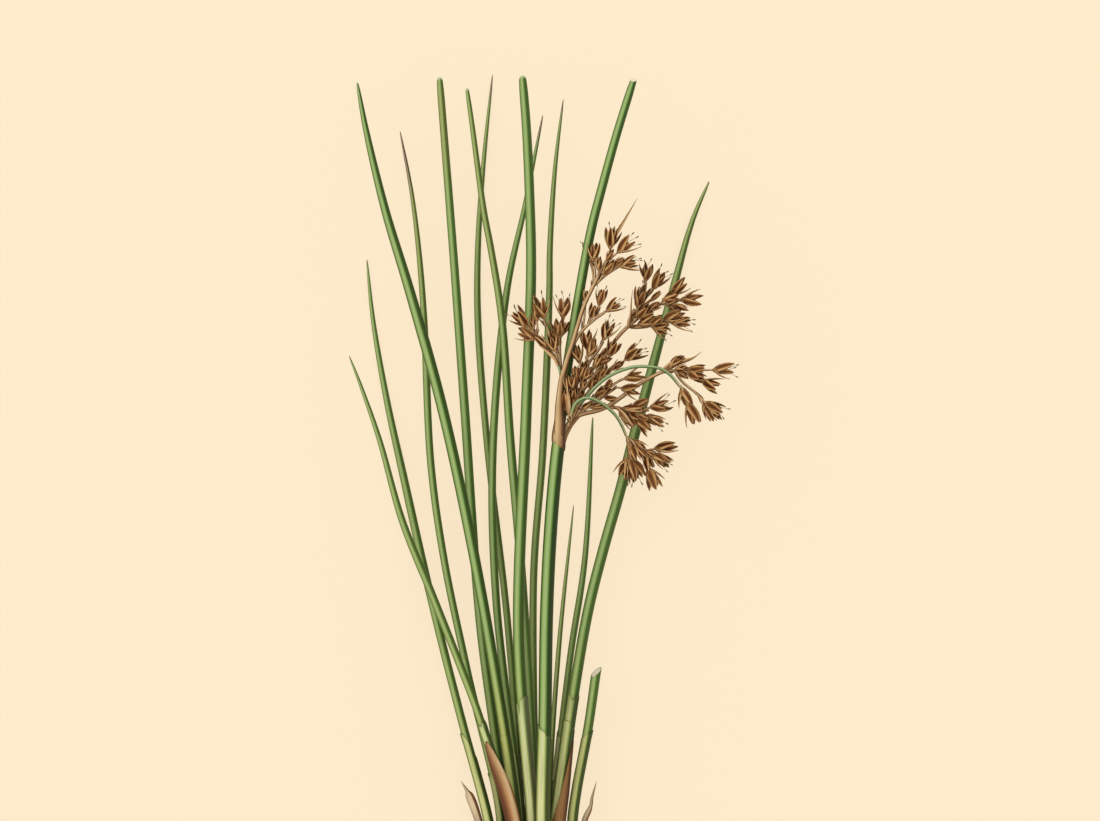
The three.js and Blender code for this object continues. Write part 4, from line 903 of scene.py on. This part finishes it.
# ---- Sheaths and scales ----
def sleeve(name, route, foot, reach, outer, wall, material, rows=30, sides=44, ribs=0.012, edge=1.0,
           **evenly):
    """A thin open-ended sleeve round a route. foot, reach and outer are given by the angle round it, in
    radians from the right towards up, and outer also by the share of the way from foot to mouth. edge is how
    wide the brown line along its torn edge is, and evenly holds what is the same all over it."""
    angles = np.arange(sides) * 2 * np.pi / sides
    shares = np.concatenate([np.linspace(0, 0.75, rows // 2), np.linspace(0.75, 1, rows - rows // 2 + 1)[1:]])
    points, rims, along, tips = [], [], [], []
    for inner in (0, 1):
        for share in shares[::-1] if inner else shares:
            for i, angle in enumerate(angles):
                distance = foot(angle) + (reach(angle) - foot(angle)) * share
                at, _, side, up = route.frame(distance)
                radius = outer(angle, share)
                if inner:
                    radius -= wall * (1 - 0.7 * share)
                else:
                    radius *= 1 + ribs * math.cos(22 * angle)
                ray = side * math.cos(angle) + up * math.sin(angle)
                points.append(at + ray * radius)
                rims.append((math.cos(angle), math.sin(angle), 0))
                along.append(distance)
                tips.append((reach(angle) - distance) / edge)
    count = 2 * len(shares)
    faces = lofted_faces(count, sides, ringed=True)
    even = {key: np.full(len(points), value) for key, value in evenly.items()}
    mesh = plain_mesh(name, points, faces, {"rim": rims, "along": along, "tip": tips, **even})
    return linked(name, mesh, material)


def sheath_foot(stem):
    """The radius of a sheath's foot, which has the more room in it the thinner the stem is."""
    return max(THINNEST_FOOT, stem["radius"] + SHEATH_ROOM)


def leaning(angle, degrees):
    return math.cos(angle - math.radians(degrees))


def leaf_sheath(name, stem, looser=0.0):
    """The pale sheath round a stem's foot, with its slanted mouth and its slit or torn edge."""
    route = Route(stem["path"])
    phase = float(rng.uniform(0, 6.28))
    slit_at, slit_wide, slit_deep = stem["slit"]

    def reach(angle):
        torn = stem["ragged"] * (math.sin(7 * angle + phase) * 0.4 + math.sin(13 * angle) * 0.25)
        apart = (angle - math.radians(slit_at) + math.pi) % (2 * math.pi) - math.pi
        slit = slit_deep * max(0.0, 1 - abs(apart) / math.radians(slit_wide))
        return stem["mouth"] + stem["slant"] * (leaning(angle, stem["lean"]) - 1) + torn - slit

    foot_radius = sheath_foot(stem) + looser
    mouth_radius = stem["radius"] + stem["step"] + looser

    def outer(angle, share):
        flare = 0.12 * max(0.0, (share - 0.93) / 0.07) * max(0.0, leaning(angle, stem["lean"]))
        return foot_radius + (mouth_radius - foot_radius) * min(1, share * 1.3) + flare

    return sleeve(name, route, lambda angle: 0.0, reach, outer, SHEATH_WALL, SHEATH, edge=stem["edge"],
                  fresh=stem["fresh"], veins=stem["veins"], pale=stem["pale"])


def wrapped_scale(name, scale, skin):
    """A pointed brown scale leaf that wraps a sheathed stem, low on one side."""
    stem = STEMS[scale["round"]]
    side, tip = scale["side"], scale["tip"]

    def reach(angle):
        return side + (tip - side) * ((1 + leaning(angle, scale["lean"])) / 2) ** scale["power"]

    def outer(angle, share):
        from_tip = tip - 4 - share * (reach(angle) - 4)
        return sheath_foot(stem) + 0.1 + scale["loose"] * np.clip(from_tip / 12, 0, 1) ** 0.8

    return sleeve(name, Route(stem["path"]), lambda angle: 0.0, reach, outer, SCALE_WALL, skin, rows=34,
                  sides=60, ribs=0.018, veins=1.0)


def pointed_blade(name, path, halves, material, arch=0.5, fold=0.0, lit=1):
    """A strip folded lengthwise, off its middle by `fold`, whose half width goes by the distance from its
    tip. Its skin is paler on its left side, or on its right one where `lit` is -1: painted light, with
    painted shade on its other side and underneath."""
    route = Route(path)
    rows = 30
    across = np.array([-1, -0.75, -0.5, -0.25, 0, 0.25, 0.5, 0.75, 1.0])
    points, rims, along, tips = [], [], [], []
    for share in np.linspace(0, 1, rows):
        distance = share * route.length
        at, _, side, up = route.frame(distance)
        half = float(np.interp(route.length - distance, *zip(*halves)))
        thick = min(BLADE_THICKNESS, half) * (1 - 0.6 * share)
        for upper, run in ((1, across), (0, across[::-1])):
            for u in run:
                ridge = 1 - abs(u - fold) / (1 + abs(fold)) if fold else 1 - u * u
                lift = half * (arch * ridge + 0.05 * math.sin(9 * share + 3 * u)) + (thick if upper else 0.0)
                points.append(at + side * u * half + up * lift)
                # The rim values set its painted light and shade: one side lit, the other side and the
                # underside shaded.
                tilt = (0.75 if u > fold else -0.45) if fold else 0.1 + 0.6 * u
                rims.append((tilt * lit, 0.72, 0) if upper else (0, -0.9, 0))
                along.append(distance)
                tips.append((1 - abs(u)) * half + 0.3)
    ring = 2 * len(across)
    mesh = plain_mesh(name, points, lofted_faces(rows, ring), {"rim": rims, "along": along, "tip": tips})
    return linked(name, mesh, material)


def bract_sheath():
    """The tan sheath round the bract's foot: it starts aslant on the flowering stem and ends in a tip."""
    route = Route(STEMS["flowering_stem"]["path"][-3:-1] + STEMS["bract"]["path"][1:])
    start = route.walked[ROUTE_STEPS]

    def foot(angle):
        return start - 1.3 - 1.1 * leaning(angle, -20)

    def reach(angle):
        return start + 3.5 + 12 * ((1 + leaning(angle, 130)) / 2) ** 3

    def outer(angle, share):
        swell = 0.16 * math.sin(math.pi * min(1, share * 2.5))
        return 1.66 + swell - 0.3 * share

    return sleeve("bract_sheath_tan", route, foot, reach, outer, 0.16, STRAP, rows=26, sides=44, ribs=0.02)


# ---- Florets ----
TEPAL_ACROSS = (-1.0, -0.5, 0.0, 0.5, 1.0)
TEPAL_UP = (0.0, 0.18, 0.38, 0.6, 0.8, 0.93)
TEPAL_WIDTHS = (0.5, 0.88, 1.0, 0.92, 0.62, 0.3)  # at those places, over its full width


def tepal(angle, height, width, belly, spread):
    """One tepal round the floret's axis: boat-shaped, keeled on its back, pointed. Its points and faces."""
    points, across, ups, inside = [], [], [], []
    out = np.array([math.cos(angle), math.sin(angle), 0])
    along_rim = np.array([-math.sin(angle), math.cos(angle), 0])

    def middle(u):
        radius = 0.2 * (1 - u) ** 2 + 2 * belly * u * (1 - u) + spread * u * u
        rise = height * (0.72 * u + 0.28 * u * u)
        return radius, rise

    for u, wide in zip(TEPAL_UP, TEPAL_WIDTHS):
        radius, rise = middle(u)
        half = width / 2 * wide
        for s in TEPAL_ACROSS:
            inward = (half * s) ** 2 * 0.6 / max(radius, 0.45)
            points.append(out * (radius - inward + 0.05 * (1 - abs(s))) + along_rim * half * s + UP * rise)
            across.append(s)
            ups.append(u)
            inside.append(0.0)
        points.append(out * (radius - 0.07) + UP * (rise + 0.03))
        across.append(0.35)
        ups.append(u)
        inside.append(1.0)
    radius, rise = middle(1.0)
    points.append(out * radius + UP * rise)
    across.append(0.5)
    ups.append(1.0)
    inside.append(0.0)
    ring = len(TEPAL_ACROSS) + 1
    faces = lofted_faces(len(TEPAL_UP), ring, shut=False)
    last = (len(TEPAL_UP) - 1) * ring
    faces.append(list(range(ring))[::-1])
    faces += [[last + i, last + (i + 1) % ring, last + ring] for i in range(ring)]
    return np.array(points), faces, {"across": across, "up": ups, "inside": inside}


def merged(parts):
    """Several lots of (points, faces, attribute rows) as one."""
    points, faces, rows, start = [], [], {}, 0
    for p, f, attributes in parts:
        if enclosed_volume(p, f) < 0:
            f = [face[::-1] for face in f]
        points.append(p)
        faces += [[start + i for i in face] for face in f]
        for key, values in attributes.items():
            rows.setdefault(key, []).append(np.asarray(values, float))
        start += len(p)
    return np.vstack(points), faces, {key: np.concatenate(v) for key, v in rows.items()}


# A floret form: outer belly, outer spread, inner belly, inner spread and height, in millimetres.
FLORET_FORMS = [(1.4, 0.45, 1.0, 0.25, 4.2), (1.5, 1.0, 1.05, 0.5, 4.15), (1.6, 1.55, 1.15, 0.8, 4.05),
                (1.65, 2.05, 1.2, 1.1, 3.95)]


def floret_form(number):
    outer_belly, outer_spread, inner_belly, inner_spread, height = FLORET_FORMS[number]
    parts = []
    for i in range(6):
        inner = i % 2
        vary = rng.uniform(0.88, 1.12, 3)
        belly, spread = (inner_belly, inner_spread) if inner else (outer_belly, outer_spread)
        angle = i * math.pi / 3 + rng.uniform(-0.08, 0.08)
        tall, wide = (0.94 * height, 1.5) if inner else (height, 1.72)
        p, f, rows = tepal(angle, tall * vary[0], wide * vary[1], belly, spread * vary[2])
        parts.append((p, f, {**rows, "pale": np.zeros(len(p))}))
    for angle in (0.4, 3.6):
        p, f, rows = tepal(angle, 1.6, 1.1, 0.75, 0.7)
        p[:, 2] -= 0.2
        parts.append((p, f, {**rows, "pale": np.full(len(p), 0.75)}))
    return linked(f"floret_form_{number}", plain_mesh(f"floret_form_{number}", *merged(parts)))


def turned_form(profile, sides, lobed=0.0):
    """A small solid of rings about the axis, drawn into three lobes if asked, with `up` along it."""
    points, ups = [], []
    for share, (radius, height) in enumerate(profile):
        for i in range(sides):
            angle = i * 2 * math.pi / sides
            r = radius * (1 + lobed * math.cos(3 * angle))
            points.append((r * math.cos(angle), r * math.sin(angle), height))
            ups.append(share / (len(profile) - 1))
    return np.array(points), lofted_faces(len(profile), sides), {"up": ups}


# Radius and height of the rings of a capsule and of the swelling round a stem's foot.
CAPSULE_RINGS = [(0.2, 0.3), (0.52, 0.8), (0.62, 1.4), (0.5, 2.0), (0.2, 2.4), (0.05, 2.8)]
SWELLING_RINGS = [(0.4, -3.3), (1.5, -2.6), (2.25, -1.2), (2.35, 0.4), (2.1, 1.8), (1.5, 2.9), (0.5, 3.5)]
# How far a stamen leans out by the share of its length, its length, and how far it bends sideways.
STAMENS = ((0.26, 4.75, 0.5), (0.14, 4.95, -0.4), (0.34, 4.4, 0.3))
# A stamen's radius by the share of its length: a thin filament and its oval anther.
STAMEN_RINGS = [(0.06, 0.0), (0.05, 0.5), (0.045, 0.8), (0.045, 0.9), (0.045, 0.97), (0.11, 0.99),
                (0.14, 1.04), (0.1, 1.1), (0.03, 1.12)]


def capsule_form():
    return linked("capsule_form", plain_mesh("capsule_form", *turned_form(CAPSULE_RINGS, 9, 0.12)))


def stamen_form():
    """Three thin filaments that lean out past the tepals, each with its oval anther."""
    parts = []
    for i, (lean, length, bend) in enumerate(STAMENS):
        angle = i * 2.1 + 0.5
        out = np.array([math.cos(angle), math.sin(angle), 0])
        sideways = np.array([-math.sin(angle), math.cos(angle), 0])
        points, ups = [], []
        for radius, u in STAMEN_RINGS:
            centre = out * (0.1 + lean * length * u**1.5) + sideways * bend * math.sin(4 * u) * u
            centre += UP * length * u * 0.93
            for k in range(5):
                turn = k * 2 * math.pi / 5
                points.append(centre + out * radius * math.cos(turn) + sideways * radius * math.sin(turn))
                ups.append(min(1.0, u))
        parts.append((np.array(points), lofted_faces(len(STAMEN_RINGS), 5), {"up": ups}))
    return linked("stamen_form", plain_mesh("stamen_form", *merged(parts)))


def fork_bract_form():
    """A short lance-shaped bract that clasps a fork of the panicle."""
    p, f, given = tepal(0.0, 3.4, 1.2, 0.62, 0.5)
    p[:, 0] += 0.12
    # Its rim values give it painted light on one half and painted shade on the other.
    rim = np.stack([np.asarray(given["across"]) * 0.8, np.full(len(p), 0.7), np.zeros(len(p))], axis=1)
    rows = {"rim": rim, "along": np.asarray(given["up"]) * 3, "green": np.zeros(len(p))}
    return linked("fork_bract_form", plain_mesh("fork_bract_form", p, f, rows))


# ---- Sprays ----
def twig_to(route, floret):
    """The path of a floret's own twig, from the stalk's route to the floret's foot."""
    x, y, z, degrees = floret[:4]
    end = np.array([x, y, z], float)
    distances = np.linspace(0, route.length, 61)
    away = np.linalg.norm(route.at(distances) - end, axis=1)
    foot = route.at(max(0.04 * route.length, distances[away.argmin()] - 0.9 * away.min() - 0.5))
    angle = math.radians(degrees)
    rise = float(np.clip((z - foot[2]) * 0.2, -0.4, 0.4))
    heading = unit(np.array([math.cos(angle), math.sin(angle), rise]))
    bend = end - heading * np.linalg.norm(end - foot) * 0.35
    return Route([foot, bend + (foot - bend) * 0.3, end])


def facing(direction, spin):
    """The turn that points +Z along a direction, after a spin about it, as Euler angles."""
    turn = Vector(direction).to_track_quat("Z", "Y") @ Quaternion((0, 0, 1), spin)
    return tuple(turn.to_euler())


def spray(name, stalks, forms, capsule, stamens, fork_bract):
    """A spray: its stalks, the florets' own twigs, and what stands at their feet and ends."""
    lines, marks = [], []
    usual = dict(floret=0.0, capsule=0.0, stamens=0.0, fork=0.0, form=0.0, size=1.0, tone=0.0, turn=(0, 0, 0))

    def thin(route, first, last, step, fresh=0.0):
        count = max(4, int(route.length / step))
        distances = np.linspace(0, route.length, count)
        radii = np.linspace(first, last, count)
        radii[0] *= 0.4  # so that no flat end shows where it leaves its carrier
        lines.append(stalk_lines(route, distances, radii, green=np.clip((fresh + 1.5 - distances) / 3, 0, 1)))

    for order, (radii, path, florets) in enumerate(stalks):
        route = Route(path)
        if not (name == "spray_main" and order == 0):
            first, last, *fresh = radii
            thin(route, first, last, 1.0, fresh[0] if fresh else 0.0)
        for floret in florets:
            twig = twig_to(route, floret)
            thin(twig, 0.28, 0.22, 0.5)
            at, tangent, _, _ = twig.frame(0.2)
            marks.append((at, dict(fork=1.0, size=float(rng.uniform(0.55, 0.85)),
                                   turn=facing(tangent, rng.uniform(0, 6.28)))))
            *_, long, opened, showing = floret
            place, direction, _, _ = twig.frame(twig.length)
            marks.append((place, dict(
                floret=1.0, capsule=1.0, stamens=float(showing), size=long / FLORET_LENGTH, form=opened,
                tone=float(rng.random()), turn=facing(direction, rng.uniform(0, 6.28)))))
    points, edges, line_rows = joined_stalks(lines)
    rows = {key: np.array([value] * len(points) + [mark.get(key, value) for _, mark in marks], float)
            for key, value in usual.items()}
    rows.update({key: np.concatenate([values, np.zeros(len(marks))]) for key, values in line_rows.items()})
    mesh = plain_mesh(name, np.vstack([points, [place for place, _ in marks]]), [], rows, edges)
    obj = linked(f"{name}_dressed", mesh)
    return with_modifier(
        obj, SPRAY, Sides=8, Florets=forms, Capsule=capsule, Stamens=stamens, Fork_Bract=fork_bract,
        Tepal_Material=TEPAL, Capsule_Material=CAPSULE, Stamen_Material=STAMEN, Twig_Material=TWIG)


def arching_stalk(name, stalk):
    """A hanging spray's green arching stalk, which browns at both its ends."""
    route = Route(stalk["path"])
    distances = np.linspace(0, route.length, 60)
    fresh = np.interp(distances, [stalk["bare"] - 1, stalk["bare"] + 1, route.length - 3, route.length],
                      [0, 1, 1, 0])
    line = stalk_lines(route, distances, np.linspace(*stalk["radii"], 60), green=fresh)
    return with_modifier(linked(f"arching_{name}", stalks_mesh(name, [line])), STALKS, Sides=20,
                         Rib_Depth=0.03, Flatness=1.0, Material=TWIG)


def panicle_axis():
    """The strap-like axis of the panicle, flat and finely lined, out of the tan sheath round the node."""
    route = Route(AXIS_PATH)
    distances = np.linspace(0, route.length, 80)
    line = stalk_lines(route, distances, np.interp(distances, *zip(*AXIS_RADII)))
    return with_modifier(linked("panicle_axis", stalks_mesh("panicle_axis", [line])), STALKS, Sides=32,
                         Rib_Depth=0.03, Flatness=0.6, Material=STRAP)


# ---- Rhizome ----
def root_path(number):
    across = (number + 0.5) / ROOT_COUNT - 0.5
    wander = math.sin((number + 1) * GOLDEN_ANGLE)
    layer = (number % 3) * 4.2 + 3.2
    length = ROOT_LENGTH * (0.82 + 0.2 * math.cos(number * GOLDEN_ANGLE))
    x = across * 17
    return [
        [x, 0.5, layer],
        [x + across * ROOT_SPREAD * 0.3, -length * 0.4, layer * 0.8 + 0.3],
        [x + across * ROOT_SPREAD * 0.7 + wander, -length * 0.75, layer * 0.42 + 1.04],
        [x + across * ROOT_SPREAD + wander * 1.6, -length - 3, 1.3 + 0.12 * layer],
    ]


def roots():
    """The trimmed roots, and the fine rootlets that branch from them."""
    lines = []
    for number in range(ROOT_COUNT):
        route = Route(root_path(number))
        distances = np.linspace(0, route.length, 34)
        knots = 1 + 0.12 * np.sin(distances * 1.9 + number) + 0.06 * np.sin(distances * 5.3)
        lines.append(stalk_lines(route, distances, np.linspace(*ROOT_RADII, 34) * knots))
        for k in range(ROOTLETS):
            at, tangent, side, up = route.frame(route.length * (0.25 + 0.15 * k))
            out = unit(tangent * 0.9 + side * rng.uniform(-1, 1) + up * rng.uniform(-0.4, 0.5))
            reach = rng.uniform(2.2, 4.2)
            end = at + out * reach
            bend = at + out * reach * 0.5 + side * rng.uniform(-0.4, 0.4)
            for point in (bend, end):
                point[2] = max(point[2], LOWEST_BEND)
            fine = Route([at, bend, end])
            lines.append(stalk_lines(fine, np.linspace(0, fine.length, 7), np.linspace(*ROOTLET_RADII, 7)))
    obj = linked("trimmed_roots", stalks_mesh("trimmed_roots", lines))
    return with_modifier(obj, STALKS, Sides=9, Rib_Depth=0.0, Flatness=1.0, Material=ROOT)


def rhizome():
    """Knotty branches and a swelling round each stem's foot, fused, ringed and roughened."""
    parts = []
    for radius, path in RHIZOME_BRANCHES:
        route = Route(path)
        rows, sides = 40, 24
        points = []
        for share in np.linspace(0, 1, rows):
            at, tangent, _, _ = route.frame(route.length * share)
            side = unit(np.cross(tangent, [0, 1, 0]))
            up = np.cross(side, tangent)
            end = min(1.0, (0.2 + 8 * min(share, 1 - share)) ** 0.5)
            ring = radius * end * (1 + 0.05 * math.sin(share * route.length * 2.4))
            for i in range(sides):
                angle = i * 2 * math.pi / sides
                points.append(at + side * ring * math.cos(angle) + up * ring * math.sin(angle))
        parts.append((np.array(points), lofted_faces(rows, sides), {}))
    for stem in (s for n, s in STEMS.items() if n != "bract"):
        x, _, z = stem["path"][0]
        p, f, _ = turned_form(SWELLING_RINGS, 20)
        parts.append((np.stack([p[:, 0] + x, p[:, 2] + 2.9, p[:, 1] + z], axis=1), f, {}))
    obj = linked("knotty_rhizome", plain_mesh("knotty_rhizome", *merged(parts)))
    fuse = obj.modifiers.new("fuse", "REMESH")
    fuse.mode, fuse.voxel_size = "VOXEL", FUSED_VOXEL * MM
    soft = obj.modifiers.new("soften", "SMOOTH")
    soft.factor, soft.iterations = 0.5, 4
    depsgraph = bpy.context.evaluated_depsgraph_get()
    mesh = bpy.data.meshes.new_from_object(obj.evaluated_get(depsgraph), depsgraph=depsgraph)
    obj.modifiers.clear()
    obj.data = mesh
    with_modifier(obj, rough_tree(), Depth=KNOB_DEPTH * MM, Scale=KNOBS_PER_METRE, Material=RHIZOME)
    for vertex in obj.data.vertices:
        vertex.co.z = max(vertex.co.z, 0.0)
    return obj


# ---- The tuft ----
def keep(piece, slot, *nodes):
    """Puts a piece on the tuft's one body and hides the nodes that it stands for. Its slot is not used."""
    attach(piece, "root")
    if nodes:
        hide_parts(*nodes)


for name, stem in STEMS.items():
    keep(green_stem(f"green_{name}", stem), "stem", name)
    if stem["cut"]:
        keep(cut_pith(f"pith_of_{name}", stem), "stem")
    if name != "bract":
        node = name.replace("stem", "sheath")
        keep(leaf_sheath(f"leaf_{node}", stem), "sheath", node)
older_sheath = {**STEMS["stem_13"], "mouth": 34.5, "lean": 120, "slant": 1.6, "slit": (60, 20, 1),
                "edge": 0.4}
keep(leaf_sheath("leaf_sheath_13_older", older_sheath, looser=0.13), "sheath")
for (name, scale), skin in zip(WRAPPED_SCALES.items(), (SCALE, DARK_SCALE)):
    keep(wrapped_scale(f"brown_{name}", scale, skin), "scale_leaf", name)
for name, scale in LOOSE_SCALES.items():
    piece = pointed_blade(f"withered_{name}", scale["path"], scale["halves"], WITHERED, arch=0.45,
                          fold=scale["fold"])
    keep(piece, "scale_leaf", name)
keep(bract_sheath(), "bract_sheath", "bract_sheath")
for name, stalk in PEDUNCLES.items():
    keep(arching_stalk(name, stalk), "peduncle", name)
keep(panicle_axis(), "panicle")

floret_forms = bpy.data.collections.new("floret_forms")
helpers = [floret_form(number) for number in range(len(FLORET_FORMS))]
for form in helpers:
    floret_forms.objects.link(form)
capsule, stamens, fork_bract = capsule_form(), stamen_form(), fork_bract_form()
for name, stalks in SPRAYS.items():
    keep(spray(name, stalks, floret_forms, capsule, stamens, fork_bract), "panicle", name)
for form in (*helpers, capsule, stamens, fork_bract):
    bpy.data.objects.remove(form)
bpy.data.collections.remove(floret_forms)
for name, (path, halves) in BRACTEOLES.items():
    skin = STRAP if name in DARK_BRACTEOLES else TWIG
    keep(pointed_blade(name, path, halves, skin, lit=-1 if name in RIGHT_LIT else 1), "panicle")
keep(rhizome(), "rhizome", "rhizome")
keep(roots(), "rhizome")

# ---- Floor, light and camera ----
FRAME_WIDTH = 264 * MM  # what the camera sees across, at the height of the tuft's middle
CENTRE = Vector((3.12 * MM, 112.68 * MM, 12 * MM))
# Each lamp's place from there in metres, its size and its power.
LAMPS = {"key_light": ((-0.45, 0.45, 1.25), 1.6, 5.5), "fill_light": ((0.7, -0.3, 1.2), 1.4, 1.2)}

# Cream paper lit from behind: dull, without a gloss, and its own light leaves only a faint shadow on it.
floor_paint, _ = new_material("floor_backlit_cream_paper", 1.45, 0.9, 0.0, **{
    "Base Color": linear("#686052"), "Emission Color": linear("#FDEACA"), "Emission Strength": 0.87})
bpy.ops.mesh.primitive_plane_add(size=8)
floor = bpy.context.object
floor.name = "pale_floor"
floor.data.materials.append(floor_paint)

world = bpy.data.worlds.new("soft_surround")
bpy.context.scene.world = world
world.use_nodes = True
surround = world.node_tree.nodes["Background"].inputs
surround["Color"].default_value = (1.0, 0.985, 0.95, 1.0)
surround["Strength"].default_value = 0.8

for name, (place, size, power) in LAMPS.items():
    lamp = bpy.data.lights.new(name, "AREA")
    lamp.size = size
    lamp.energy = power
    holder = linked(name, lamp)
    holder.location = CENTRE + Vector(place)
    holder.rotation_mode = "QUATERNION"
    holder.rotation_quaternion = (CENTRE - holder.location).to_track_quat("-Z", "Y")

lens = bpy.data.cameras.new("overhead_camera")
lens.sensor_width = 36
lens.lens = 1000
lens.clip_start, lens.clip_end = 0.5, 30
camera = linked("overhead_camera", lens)
camera.location = CENTRE + Vector((0, 0, FRAME_WIDTH * lens.lens / lens.sensor_width))
bpy.context.scene.camera = camera
bpy.context.scene.view_settings.view_transform = "Standard"
